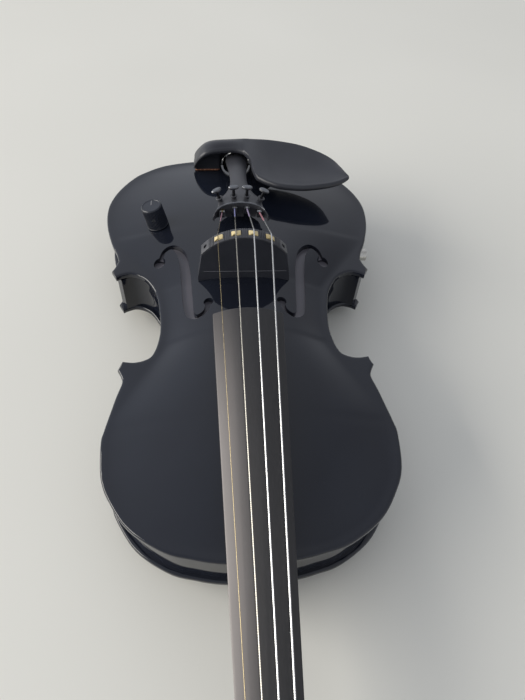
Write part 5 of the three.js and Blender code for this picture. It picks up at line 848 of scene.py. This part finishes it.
def rest_ring(station):
    """The plate's section from front to back: round edges, a dished top and the same dish below."""
    along, near, far, high, dish, thick = station
    x = REST_LEFT_X + REST_WIDTH * min(1, max(0, along))
    near_y, far_y = REST_FRONT_Y + REST_DEPTH * near, REST_FRONT_Y + REST_DEPTH * far
    rim, depth = REST_RIM_Z * high, REST_THICKNESS * thick
    soft = min(REST_ROUND, (far_y - near_y) / 4)
    first = near_y + soft
    flat = far_y - near_y - 2 * soft
    middle = rim - depth / 2
    ring = []

    def surface(share):
        return rim - REST_DISH * dish * 4 * share * (1 - share)

    for i in range(9):
        turn = math.radians(-90 + 22.5 * i)
        ring.append((x, first - soft * math.cos(turn), middle + depth / 2 * math.sin(turn)))
    ring += [(x, first + flat * i / 26, surface(i / 26)) for i in range(1, 26)]
    for i in range(9):
        turn = math.radians(90 - 22.5 * i)
        ring.append((x, far_y - soft + soft * math.cos(turn), middle + depth / 2 * math.sin(turn)))
    ring += [(x, first + flat * i / 12, surface(i / 12) - depth) for i in range(11, 0, -1)]
    return ring


REST_FOOT_INNER = 13.5
REST_FOOT_OUTER = 36.5
REST_FOOT_CORNER = 14
REST_FOOT_LENGTH = 27
REST_FOOT_Z = 1.5
REST_FOOT_HEIGHT = 26.5
REST_FOOT_TOP_Y = REST_FRONT_Y + REST_DEPTH * 0.95
# Share of the foot's height, how far its outer side comes in, and how far it leans under the plate.
REST_FOOT = ((0, 0.02, 0), (0.16, 0, 0), (0.43, 0.03, 0), (0.57, 0.12, 0.35), (0.7, 0.26, 0.7),
             (0.82, 0.44, 1))
# Height, how far the feet's common outline is drawn in at the back, and its corner.
FEET_OUTLINE = ((-6, 0, REST_FOOT_CORNER), (6, 0, REST_FOOT_CORNER), (30, 22, 26))
CORK_SHOWN = 1.1


def rest_foot(side):
    """One foot, kept inside the outline that both feet share."""
    rings = []
    for high, taken, leaned in through(REST_FOOT, 5):
        outer = REST_FOOT_OUTER - (REST_FOOT_OUTER - REST_FOOT_INNER) * taken
        front = REST_BACK_Y - REST_FOOT_LENGTH - REST_ROUND * leaned
        back = REST_BACK_Y + (REST_FOOT_TOP_Y - REST_BACK_Y) * leaned
        half = (outer - REST_FOOT_INNER) / 2
        plan = rounded_plan(half, (back - front) / 2, REST_ROUND, (front + back) / 2, steps=8)
        middle = side * (REST_FOOT_INNER + outer) / 2
        rings.append([(middle + x, y, REST_FOOT_Z + REST_FOOT_HEIGHT * high) for x, y in plan])
    outline = []
    for level, drawn_in, corner in FEET_OUTLINE:
        back = REST_BACK_Y - drawn_in
        plan = rounded_plan(REST_FOOT_OUTER, (back - REST_FRONT_Y) / 2, corner, (back + REST_FRONT_Y) / 2)
        outline.append([(x, y, level) for x, y in plan])
    return carve(loft("rest_foot", rings), [loft("feet_outline", outline)], "INTERSECT")


REST_ARCH = (13.2, 13)
ARCH_WALL_HALF = 15
# Height, and how far the wall's front and back lie before the rest's back edge.
ARCH_WALL = ((-2, 15.5, 9), (15, 15.5, 9), (20, 22, 13), (25.5, 29, 20))


def rest_arch():
    """The wall that joins the two feet behind the tailpiece, arched over the saddle."""
    rings = []
    for level, front, back in ARCH_WALL:
        plan = rectangle(-ARCH_WALL_HALF, ARCH_WALL_HALF, REST_BACK_Y - front, REST_BACK_Y - back)
        rings.append([(x, y, level) for x, y in plan])
    half, high = REST_ARCH
    turns = [math.pi * k / 30 for k in range(60)]
    opening = [[(half * math.cos(a), y, high * math.sin(a)) for a in turns]
               for y in (REST_BACK_Y - 38, REST_BACK_Y + 2)]
    return carve(loft("arch_wall", rings), [loft("arch_opening", opening)])


def make_chin_rest(top):
    """The cupped plate on its arched foot, cut to lie on the corks along the top's arch."""
    rest = loft("cupped_chin_rest", [rest_ring(s) for s in through(REST_STATIONS, 6)])
    carve(rest, [rest_foot(-1), rest_foot(1), rest_arch()], "UNION")
    raised = placed("raised_top", top.data.copy())
    raised.data.transform(Matrix.Translation((0, 0, CORK_SHOWN / MM_PER_METRE)))
    return carve(rest, [raised])


# Volume knob

KNOB_RADIUS = 8.2
KNOB_HEIGHT = 17.8
KNOB_FLOAT = 0.4
SET_SCREW_HEIGHT = 9.2
SET_SCREW_BORE = 1.5
KNURLS = 48
KNURL_DEPTH = 0.35
CROWN_DROP = 0.25
SHAFT_BORE = (3.1, 13)
NUT_HOLLOW_TOP = 2.3
POINTER_HALF = 0.4
POINTER_SPAN = (0.6, 6.1)


def knob_bottom():
    """The knob's lowest height on its leant axis that stays clear of the arched top."""
    highest = 0.0
    for i in range(18):
        angle = 2 * math.pi * i / 18
        out = KNOB_RADIUS * math.cos(angle)
        rise = top_height(KNOB_AT[0] + out, KNOB_AT[1] + KNOB_RADIUS * math.sin(angle)) - KNOB_FOOT[2]
        highest = max(highest, rise * math.cos(KNOB_LEAN) + out * math.sin(KNOB_LEAN))
    return highest + KNOB_FLOAT


def make_knob():
    """The knurled knob: a sunk top, a hollow for the nut, and bores for its shaft and its set screw."""
    low = knob_bottom()
    top = low + KNOB_HEIGHT
    below = [(-0.5, low), (-0.1, low + 0.3), (0, low + 0.8)]
    above = [(0.955, top - 1.3), (0.95, top - 0.8), (0.91, top - CROWN_DROP), (0.87, top), (0.8, top),
             (0.77, top - CROWN_DROP)]
    profile = [(KNOB_RADIUS + more, height) for more, height in below]
    profile += [(KNOB_RADIUS * 0.995, low + 1.1, "knurled"), (KNOB_RADIUS * 0.955, top - 1.5, "knurled")]
    profile += [(KNOB_RADIUS * share, height) for share, height in above]
    knob = turned("knurled_knob", profile, KNOB_FOOT, KNOB_LEAN, sides=6 * KNURLS, ridges=KNURLS,
                  ridge_depth=KNURL_DEPTH)
    hollow = [(CONTROL_SEAT[0], low - 4), (CONTROL_SEAT[0], NUT_HOLLOW_TOP)]
    radius, depth = SHAFT_BORE
    shaft = [(radius, low - 4), (radius, low + depth)]
    screw_z = low + SET_SCREW_HEIGHT
    turns = [a * math.pi / 16 for a in range(32)]
    screw = [[leaning((SET_SCREW_BORE * math.cos(a), -y, screw_z + SET_SCREW_BORE * math.sin(a)),
                      KNOB_LEAN, KNOB_FOOT) for a in turns] for y in (0, 20)]
    return carve(knob, [turned("nut_hollow", hollow, KNOB_FOOT, KNOB_LEAN),
                        turned("shaft_bore", shaft, KNOB_FOOT, KNOB_LEAN),
                        loft("set_screw_bore", screw)])


def make_pointer():
    """The pale line let into the knob's top, from near its middle outwards."""
    top = knob_bottom() + KNOB_HEIGHT - CROWN_DROP
    section = rectangle(-POINTER_HALF, POINTER_HALF, top - 0.5, top + 0.12)
    return loft("knob_pointer", [[leaning((x, y, z), KNOB_LEAN, KNOB_FOOT) for x, z in section]
                                 for y in POINTER_SPAN])


# Materials

RAMP = "ShaderNodeValToRGB"
NOISE = "ShaderNodeTexNoise"
MIX = "ShaderNodeMixRGB"
BUMP = "ShaderNodeBump"
VECTORS = "ShaderNodeVectorMath"
# The wave texture makes a band every tau / 20 of its feature size, so 3.15 mm gives bands 1 mm wide.
# Real ribbon and silk thread are about 0.15 mm wide, too fine to show.
WINDING_BANDS = 3.15


def colour(code):
    """An sRGB hex value as linear red, green, blue and alpha."""
    parts = [((code >> shift) & 255) / 255 for shift in (16, 8, 0)]
    return [p / 12.92 if p <= 0.04045 else ((p + 0.055) / 1.055) ** 2.4 for p in parts] + [1]


def per_mm(size):
    """Texture scale at which one feature measures size millimetres."""
    return MM_PER_METRE / size


def fill(tree, node, inputs):
    """Sets a node's inputs: another node's output as a link, and anything else as it is."""
    for name, value in inputs.items():
        if isinstance(value, bpy.types.NodeSocket):
            tree.links.new(value, node.inputs[name])
        else:
            node.inputs[name].default_value = value


def add(tree, kind, output, inputs=None, stops=(), **settings):
    """Adds a node with its settings and inputs, and gives one of its outputs. A ramp's stops are
    (place, value), where a whole number is an sRGB hex value and any other a grey level."""
    node = tree.nodes.new(kind)
    for name, value in settings.items():
        setattr(node, name, value)
    fill(tree, node, inputs or {})
    while stops and len(node.color_ramp.elements) < len(stops):
        node.color_ramp.elements.new(0.5)
    for i, (place, value) in enumerate(stops):
        point = node.color_ramp.elements[i]
        point.position = place
        point.color = colour(value) if isinstance(value, int) else [value, value, value, 1]
    return node.outputs[output]


def start(name):
    """A new material, its tree, and its object coordinates in metres."""
    made = bpy.data.materials.new(name)
    made.use_nodes = True
    return made, made.node_tree, add(made.node_tree, "ShaderNodeTexCoord", "Object")


def finished(made, relief, depth_mm, inputs):
    """The material, with its shader's inputs and a relief of that depth."""
    tree = made.node_tree
    dents = add(tree, BUMP, "Normal", {"Height": relief, "Distance": depth_mm / MM_PER_METRE})
    fill(tree, tree.nodes["Principled BSDF"], {**inputs, "Normal": dents})
    return made


def piano_lacquer():
    """Polyester lacquer over maple, flatted and buffed: a mirror with faint orange peel and a few
    polishing swirls; the floors of the f-holes are rougher and painted pale grey, a painted reflection of
    the room."""
    made, tree, where = start("polished_black_polyester")
    dull_floor_painted_reflection = add(tree, "ShaderNodeAttribute", "Fac", attribute_name="dull_floor_painted_reflection")
    clouds = add(tree, NOISE, "Fac", {"Vector": where, "Scale": per_mm(60), "Detail": 3})
    tone = add(tree, RAMP, "Color", {"Fac": clouds}, [(0.35, 0x171A23), (0.7, 0x1B1F29)])
    # Painted reflection: the f-holes' floors are painted pale grey, as if they mirrored the bright room.
    tone = add(tree, MIX, "Color", {"Fac": dull_floor_painted_reflection, "Color1": tone, "Color2": colour(0x5E5C63)})
    swirls = add(tree, NOISE, "Fac", {"Vector": where, "Scale": per_mm(9), "Detail": 6, "Roughness": 0.65})
    haze = add(tree, RAMP, "Color", {"Fac": swirls}, [(0.35, 0.035), (0.75, 0.085)])
    haze = add(tree, MIX, "Color", {"Fac": dull_floor_painted_reflection, "Color1": haze, "Color2": (0.34, 0.34, 0.34, 1)})
    peel = add(tree, NOISE, "Fac", {"Vector": where, "Scale": per_mm(5), "Detail": 2})
    return finished(made, peel, 0.004, {"IOR": 1.53, "Base Color": tone, "Roughness": haze})


def oiled_ebony(name, grain):
    """Ebony, scraped and oiled: near black, with long fine pores along the grain and a soft sheen."""
    made, tree, where = start(name)
    along = add(tree, VECTORS, "Vector", {0: where, 1: grain}, operation="MULTIPLY")
    pores = add(tree, NOISE, "Fac", {"Vector": along, "Scale": per_mm(7), "Detail": 8, "Roughness": 0.62})
    tone = add(tree, RAMP, "Color", {"Fac": pores}, [(0.3, 0x131315), (0.55, 0x1E1E20), (0.8, 0x29282A)])
    bands = add(tree, NOISE, "Fac", {"Vector": along, "Scale": per_mm(14), "Detail": 5, "Roughness": 0.6})
    sheen = add(tree, RAMP, "Color", {"Fac": bands}, [(0.3, 0.3), (0.75, 0.42)])
    return finished(made, pores, 0.03, {"IOR": 1.5, "Base Color": tone, "Roughness": sheen})


# Painted highlight, a pale grey band where the light from the side falls: strongest at the treble edge,
# gone past the A string, and weaker towards both ends.
PAINTED_HIGHLIGHT_ASIDE = ((0.0, 1.0), (0.2, 0.66), (0.31, 0.38), (0.345, 0.3), (0.37, 0.02), (1.0, 0.0))
PAINTED_HIGHLIGHT_ALONG = ((0.0, 0.7), (0.45, 1.0), (0.7, 0.85), (0.85, 0.6), (1.0, 0.25))
PAINTED_HIGHLIGHT_SPAN = (-0.13, 0.14)


def scraped_ebony():
    """The played face of the fingerboard: scraped and sanded lengthwise, so that light from the side
    spreads across it, with a painted pale grey highlight on the treble side of the A string, where that
    light falls."""
    made, tree, where = start("scraped_ebony")
    across = add(tree, "ShaderNodeTangent", "Tangent", direction_type="UV_MAP", uv_map=BOARD_UV)
    grain = add(tree, VECTORS, "Vector", {0: where, 1: (9, 0.5, 9)}, operation="MULTIPLY")
    pores = add(tree, NOISE, "Fac", {"Vector": grain, "Scale": per_mm(6), "Detail": 8, "Roughness": 0.62})
    tone = add(tree, RAMP, "Color", {"Fac": pores}, [(0.3, 0x131315), (0.55, 0x1C1B1E), (0.8, 0x262528)])
    place = add(tree, "ShaderNodeUVMap", "UV", uv_map=BOARD_UV)
    aside = add(tree, "ShaderNodeSeparateXYZ", "X", {"Vector": place})
    first, last = PAINTED_HIGHLIGHT_SPAN
    along = add(tree, "ShaderNodeMapRange", "Result",
                {"Value": aside.node.outputs["Y"], "From Min": first, "From Max": last})
    aside = add(tree, RAMP, "Color", {"Fac": aside}, PAINTED_HIGHLIGHT_ASIDE)
    along = add(tree, RAMP, "Color", {"Fac": along}, PAINTED_HIGHLIGHT_ALONG)
    painted_highlight = add(tree, "ShaderNodeMath", "Value", {0: aside, 1: along}, operation="MULTIPLY")
    # Painted highlight: pale grey mixed over the treble side, standing in for the side light on the board.
    tone = add(tree, MIX, "Color", {"Fac": painted_highlight, "Color1": tone, "Color2": colour(0x857F7C)})
    scraped = add(tree, VECTORS, "Vector", {0: where, 1: (6, 0.4, 6)}, operation="MULTIPLY")
    strokes = add(tree, NOISE, "Fac",
                  {"Vector": scraped, "Scale": per_mm(16), "Detail": 5, "Roughness": 0.6})
    sheen = add(tree, RAMP, "Color", {"Fac": strokes}, [(0.3, 0.44), (0.75, 0.52)])
    return finished(made, pores, 0.012, {"IOR": 1.66, "Anisotropic": 0.92, "Tangent": across,
                                         "Base Color": tone, "Roughness": sheen})


def silk_thread(name, code):
    """Dyed silk wound over a string's tail end: a soft sheen, with pale fine turns across it."""
    made, tree, where = start(name)
    turns = add(tree, "ShaderNodeTexWave", "Fac",
                {"Vector": where, "Scale": per_mm(WINDING_BANDS), "Distortion": 0.6},
                wave_type="BANDS", bands_direction="Y")
    tone = add(tree, MIX, "Color", {"Fac": turns, "Color1": colour(code), "Color2": colour(0x8C8A92)})
    return finished(made, turns, 0.03, {"Roughness": 0.6, "Base Color": tone})


def flat_wound(name, dark, light):
    """Metal ribbon wound round the core: bright, with fine rings across the string."""
    made, tree, where = start(name)
    rings = add(tree, "ShaderNodeTexWave", "Fac",
                {"Vector": where, "Scale": per_mm(WINDING_BANDS), "Distortion": 0.4},
                wave_type="BANDS", bands_direction="Y")
    tone = add(tree, RAMP, "Color", {"Fac": rings}, [(0.1, dark), (0.7, light)])
    sheen = add(tree, RAMP, "Color", {"Fac": rings}, [(0.0, 0.34), (1.0, 0.28)])
    return finished(made, rings, 0.003, {"Metallic": 1.0, "Base Color": tone, "Roughness": sheen})


def moulded(name, dark, light, rough, grit_mm=0.5, depth_mm=0.012):
    """An even skin with a fine texture: slow changes of tone and sheen over grit of one size."""
    made, tree, where = start(name)
    grit = add(tree, NOISE, "Fac", {"Vector": where, "Scale": per_mm(grit_mm), "Detail": 3})
    clouds = add(tree, NOISE, "Fac", {"Vector": where, "Scale": per_mm(22), "Detail": 4})
    tone = add(tree, RAMP, "Color", {"Fac": clouds}, [(0.3, dark), (0.75, light)])
    sheen = add(tree, RAMP, "Color", {"Fac": clouds}, [(0.3, rough * 0.88), (0.75, rough * 1.15)])
    return finished(made, grit, depth_mm, {"IOR": 1.5, "Base Color": tone, "Roughness": sheen})


def metal(name, dark, light, rough):
    """Plated, oxidised or pressed metal: its tone and polish vary finely together."""
    made, tree, where = start(name)
    mottle = add(tree, NOISE, "Fac", {"Vector": where, "Scale": per_mm(0.8), "Detail": 4, "Roughness": 0.6})
    tone = add(tree, RAMP, "Color", {"Fac": mottle}, [(0.3, dark), (0.7, light)])
    sheen = add(tree, RAMP, "Color", {"Fac": mottle}, [(0.3, rough * 0.8), (0.7, rough * 1.25)])
    return finished(made, mottle, 0.004, {"Metallic": 1.0, "Base Color": tone, "Roughness": sheen})


def cork_sheet():
    """Pressed cork granules, orange-brown with dark flecks, rough and without gloss."""
    made, tree, where = start("pressed_cork")
    granules = add(tree, "ShaderNodeTexVoronoi", "Color", {"Vector": where, "Scale": per_mm(1.2)})
    tone = add(tree, RAMP, "Color", {"Fac": granules}, [(0.1, 0x7E5038), (0.5, 0xB2795A), (0.9, 0xCD9A7C)])
    return finished(made, granules.node.outputs["Distance"], 0.15, {"Roughness": 0.85, "Base Color": tone})


LACQUER = piano_lacquer()
# The board's kind of wood, turned or filed: darker and shinier than its played face.
EBONY = oiled_ebony("oiled_ebony", (9, 0.7, 9))
# The same wood with its grain across the body, as the pegs lie.
PEG_EBONY = oiled_ebony("turned_ebony", (0.7, 9, 9))
BOARD_EBONY = scraped_ebony()
# Moulded ABS: soft wide highlights along its round rims.
REST_PLASTIC = moulded("satin_black_abs", 0x26282E, 0x2F3138, 0.42, 0.6, 0.006)
# Fibre-filled moulding: a greyer black, with a slightly uneven skin.
TAIL_COMPOSITE = moulded("black_fibre_composite", 0x37383D, 0x434449, 0.42, 0.7, 0.01)
# Moulded nylon: an even dull black.
BRIDGE_PLASTIC = moulded("black_moulded_nylon", 0x25272D, 0x2E3037, 0.42, 0.8, 0.008)
# Where the mould's halves met, trimmed and rubbed: a thin pale line.
SEAM_PLASTIC = moulded("polished_parting_line", 0x5C5E64, 0x74767C, 0.35, 0.4, 0.006)
# Machined acetal: dark grey, so that the grooves between the blocks show.
CAP_PLASTIC = moulded("dark_grey_acetal", 0x3A3B40, 0x4A4B50, 0.42, 0.6, 0.01)
# Filled plastic: warm cream, the one light colour on the bridge.
BLOCK_CERAMIC = moulded("cream_filled_plastic", 0xC4B07C, 0xE4D4A4, 0.38, 0.4, 0.01)
# Black anodising over turned aluminium: its dyed oxide skin looks like a smooth glaze, not like metal.
KNOB_ALUMINIUM = moulded("black_anodised_aluminium", 0x1B1F29, 0x262B36, 0.3, 0.4, 0.006)
# Moulded polystyrene: a coarse dull skin that hides scratches.
COVER_PLASTIC = moulded("black_polystyrene", 0x0B0C0E, 0x131417, 0.45, 0.5, 0.02)
# Bright nickel: warm white and sharp in its reflections.
NICKEL = metal("bright_nickel_plate", 0xB9B7B0, 0xD6D4CE, 0.16)
# Pressed and tumbled steel: mid grey with soft reflections.
LEVER_STEEL = metal("satin_pressed_steel", 0x7C7E82, 0x9A9CA0, 0.3)
# Black oxide: dark metal that still shines at its edges.
BLACK_STEEL = metal("black_oxide_steel", 0x3A3B3F, 0x4C4D52, 0.32)
# Handled nickel: grey and slightly dulled.
HEAD_NICKEL = metal("dull_nickel_plate", 0x6C6E72, 0x8A8C90, 0.34)
# Zinc plate on the pot's can: pale grey with a fine bloom.
POT_STEEL = metal("zinc_plated_steel", 0x8F9194, 0xA9ABAE, 0.3)
CORK = cork_sheet()
# Solder mask over glass laminate: deep green with a low gloss.
CIRCUIT = moulded("green_solder_mask", 0x174A2B, 0x20603A, 0.4, 0.5, 0.01)
# Shrink sleeve: a smooth dark skin.
CELL = moulded("dark_battery_sleeve", 0x232529, 0x303338, 0.38, 0.6, 0.01)
# Drawn nylon cord: black with a slight sheen.
CORD_NYLON = moulded("black_nylon_cord", 0x141416, 0x222224, 0.42, 0.4, 0.02)
STRING_STEEL = flat_wound("flat_wound_steel", 0xB4B5B7, 0xDADAD8)
STRING_ALUMINIUM = flat_wound("flat_wound_aluminium", 0x8C8983, 0xA8A59C)
# Drawn steel with a thin wash of gold: darker and warmer than the other strings.
PLAIN_E_STEEL = metal("gilded_plain_steel", 0x7E7258, 0x9C8F70, 0.3)
# Worn by the strings: grey, with broad dull highlights.
FRET_STEEL = metal("worn_fret_steel", 0x77797D, 0x8C8E92, 0.34)
# Enamel let into a groove: flat pale grey.
POINTER_PAINT = moulded("pale_grey_enamel", 0x68686B, 0x757578, 0.4)
SILKS = (silk_thread("pink_silk", 0xA8566F), silk_thread("blue_silk", 0x4348A0),
         silk_thread("violet_silk", 0x7A6490), silk_thread("red_silk", 0xB04853))


# Finishes: every node with its material and the record's slot for it


def per_string(name):
    return tuple(name + string for string in STRINGS)


FINISHES = (
    (LACQUER, "gloss_black", ("top_plate", "body_core", "back_plate", "neck_and_scroll")),
    (BOARD_EBONY, "ebony_black", ("fingerboard",)),
    (EBONY, "ebony_black", ("nut", "tail_saddle", "endpin")),
    (PEG_EBONY, "ebony_black", per_string("peg_")),
    (REST_PLASTIC, "rest_black", ("chin_rest",)),
    (TAIL_COMPOSITE, "composite_black", ("tailpiece",)),
    (BRIDGE_PLASTIC, "bridge_black", ("bridge_body",)),
    (CAP_PLASTIC, "cap_grey", ("bridge_cap",)),
    (BLOCK_CERAMIC, "cream_blocks", per_string("piezo_saddle_")),
    (KNOB_ALUMINIUM, "knob_black", ("volume_knob",)),
    (COVER_PLASTIC, "cover_black", ("back_cover",)),
    (NICKEL, "nickel", ("output_jack", "jack_nut", "volume_pot_nut", "volume_pot_shaft",
                        "clamp_bracket", "clamp_post_treble", "clamp_post_bass",
                        "clamp_barrel_treble", "clamp_barrel_bass")),
    (LEVER_STEEL, "lever_steel", (*per_string("fine_tuner_lever_"), "fine_tuner_axle")),
    (HEAD_NICKEL, "black_screws", (*per_string("fine_tuner_head_"), "knob_set_screw")),
    (BLACK_STEEL, "black_screws", (*per_string("fine_tuner_stem_"), "back_cover_screw_1",
                                   "back_cover_screw_2", "back_cover_screw_3", "back_cover_screw_4")),
    (POT_STEEL, "string_steel", ("volume_pot_body",)),
    (CORK, "cork", ("chin_rest_cork_treble", "chin_rest_cork_bass")),
    (CIRCUIT, "circuit_green", ("preamp_board",)),
    (CELL, "cell_dark", ("battery",)),
    (CORD_NYLON, "gut_black", ("tailgut",)),
    (STRING_STEEL, "string_steel", ("string_g", "string_d")),
    (STRING_ALUMINIUM, "string_steel", ("string_a",)),
    (PLAIN_E_STEEL, "string_steel", ("string_e",)),
)
FINISH_OF = {name: (finish, slot) for finish, slot, names in FINISHES for name in names}
MOVING = {"volume_knob": "volume_control", "clamp_bracket": "clamp_foot"}
for string in STRINGS:
    for part in ("lever", "head"):
        MOVING[f"fine_tuner_{part}_{string}"] = f"tuner_{part}_{string}"


# Dressing: every node keeps its own mesh or gets a piece in its place

NODE_CREASE = 40
STRING_CREASE = 80
SOFT_EDGE_FROM = 35
stood_for = set()


def dress(piece, finish, crease=NODE_CREASE):
    """Smooth shading between hard edges, and the finish."""
    piece.data.materials.clear()
    piece.data.materials.append(finish)
    piece.data.shade_smooth()
    piece.data.set_sharp_from_angle(angle=math.radians(crease))
    weighted = piece.modifiers.new("flat_faces_first", "WEIGHTED_NORMAL")
    weighted.keep_sharp = True


def stand_in(piece, node, crease=NODE_CREASE):
    """The piece takes the place of a node and moves with its body."""
    finish, slot = FINISH_OF[node]
    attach(piece, MOVING.get(node, "violin"))
    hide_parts(node)
    dress(piece, finish, crease)
    stood_for.add(node)


def softened(node, width_mm):
    """A node's own form with its coplanar faces joined and its hard edges rounded off."""
    form = bmesh.new()
    form.from_mesh(nodes[node].data)
    form.transform(nodes[node].matrix_world)
    bmesh.ops.remove_doubles(form, verts=form.verts, dist=2e-6)
    bmesh.ops.dissolve_limit(form, angle_limit=math.radians(1), verts=form.verts, edges=form.edges)
    mesh = bpy.data.meshes.new(node + "_softened")
    form.to_mesh(mesh)
    form.free()
    piece = placed(node + "_softened", mesh)
    edge = piece.modifiers.new("soft_edges", "BEVEL")
    edge.width = width_mm / MM_PER_METRE
    edge.segments = 2
    edge.limit_method = "ANGLE"
    edge.angle_limit = math.radians(SOFT_EDGE_FROM)
    settle(piece)
    stand_in(piece, node)
    return piece


top = make_top()
rest = make_chin_rest(top)
stand_in(top, "top_plate", crease=30)
stand_in(rest, "chin_rest", crease=55)
stand_in(make_ribs(), "body_core", crease=30)
stand_in(make_back(), "back_plate", crease=30)
stand_in(make_fingerboard(), "fingerboard")
stand_in(make_tailpiece(), "tailpiece", crease=35)
stand_in(make_knob(), "volume_knob", crease=30)
stand_in(make_saddle(), "tail_saddle", crease=30)
softened("bridge_body", 0.35)
rib_the_cap(softened("bridge_cap", 0.15))
for name, width in (("nut", 0.3), ("jack_nut", 0.3), ("output_jack", 0.3), ("clamp_bracket", 0.4),
                    ("back_cover", 0.3)):
    softened(name, width)
for string, lane, silk in zip(STRINGS, BRIDGE_LANES, SILKS):
    waist_the_block(softened("piezo_saddle_" + string, 0.15), lane)
    softened("fine_tuner_lever_" + string, 0.12)
    softened("fine_tuner_head_" + string, 0.15)
extras = [(make_end_fret(), "violin", FRET_STEEL, "lever_steel"),
          (make_seam_bead(), "violin", SEAM_PLASTIC, "cap_grey"),
          (make_pointer(), "volume_control", POINTER_PAINT, "cream_blocks")]
extras += [(make_silk(i), "violin", silk, "string_steel") for i, silk in enumerate(SILKS)]
for extra, body, finish, slot in extras:
    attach(extra, body)
    dress(extra, finish)
for name, (finish, _) in FINISH_OF.items():
    if name not in stood_for:
        dress(nodes[name], finish, STRING_CREASE if name.startswith("string_") else NODE_CREASE)


# Floor and light

FLOOR_REACH = 6
FLOOR_GAP = 0.0004
# From the bass side of the neck end round to the treble side of the tail.
WALLS = ((0.1, 0xBFC2C9), (0.28, 0xB0B3B9), (0.43, 0xA6A8AE), (0.57, 0xB9BCC3), (0.71, 0xCDD0D8),
         (0.86, 0xD7DBE3))
WINDOW_AT = Vector((-5.4, -0.54, 2.07))
WINDOW_WIDE = 3.1
WINDOW_LONG = 6.3
WINDOW_WATTS = 400
WINDOW_TINT = 0xFFFAF2


def make_floor():
    """A matt painted floor, a hair below the violin's back."""
    mesh = bpy.data.meshes.new("floor")
    corners = rectangle(-FLOOR_REACH, FLOOR_REACH, -FLOOR_REACH, FLOOR_REACH)
    mesh.from_pydata([(x, y, 0) for x, y in corners], [], [(0, 1, 2, 3)])
    floor = placed("floor", mesh)
    floor.location.z = -FLOOR_GAP
    made, tree, where = start("painted_floor")
    clouds = add(tree, NOISE, "Fac", {"Vector": where, "Scale": per_mm(400), "Detail": 2})
    tone = add(tree, RAMP, "Color", {"Fac": clouds}, [(0.3, 0xE2E1D9), (0.7, 0xE7E6DE)])
    fill(tree, tree.nodes["Principled BSDF"], {"Roughness": 0.8, "Base Color": tone})
    mesh.materials.append(made)


def make_room():
    """Pale walls all round, brightest beyond the tail on the treble side."""
    world = bpy.data.worlds.new("pale_room")
    world.use_nodes = True
    room = world.node_tree
    around = add(room, "ShaderNodeTexCoord", "Generated")
    towards = add(room, VECTORS, "Value", {0: around, 1: (-0.5, 0.5, 0)}, operation="DOT_PRODUCT")
    share = add(room, "ShaderNodeMapRange", "Result", {"Value": towards, "From Min": -0.7, "From Max": 0.7})
    walls = add(room, RAMP, "Color", {"Fac": share}, WALLS)
    fill(room, room.nodes["Background"], {"Color": walls, "Strength": 1.0})
    bpy.context.scene.world = world


def make_window():
    """One large soft light from the treble side."""
    data = bpy.data.lights.new("window", "AREA")
    data.shape = "RECTANGLE"
    data.size = WINDOW_LONG
    data.size_y = WINDOW_WIDE
    data.energy = WINDOW_WATTS
    data.color = colour(WINDOW_TINT)[:3]
    lamp = placed("window", data)
    lamp.location = WINDOW_AT
    lamp.rotation_euler = (-WINDOW_AT).to_track_quat("-Z", "Y").to_euler()


make_floor()
make_room()
make_window()
bpy.context.scene.view_settings.view_transform = "Standard"
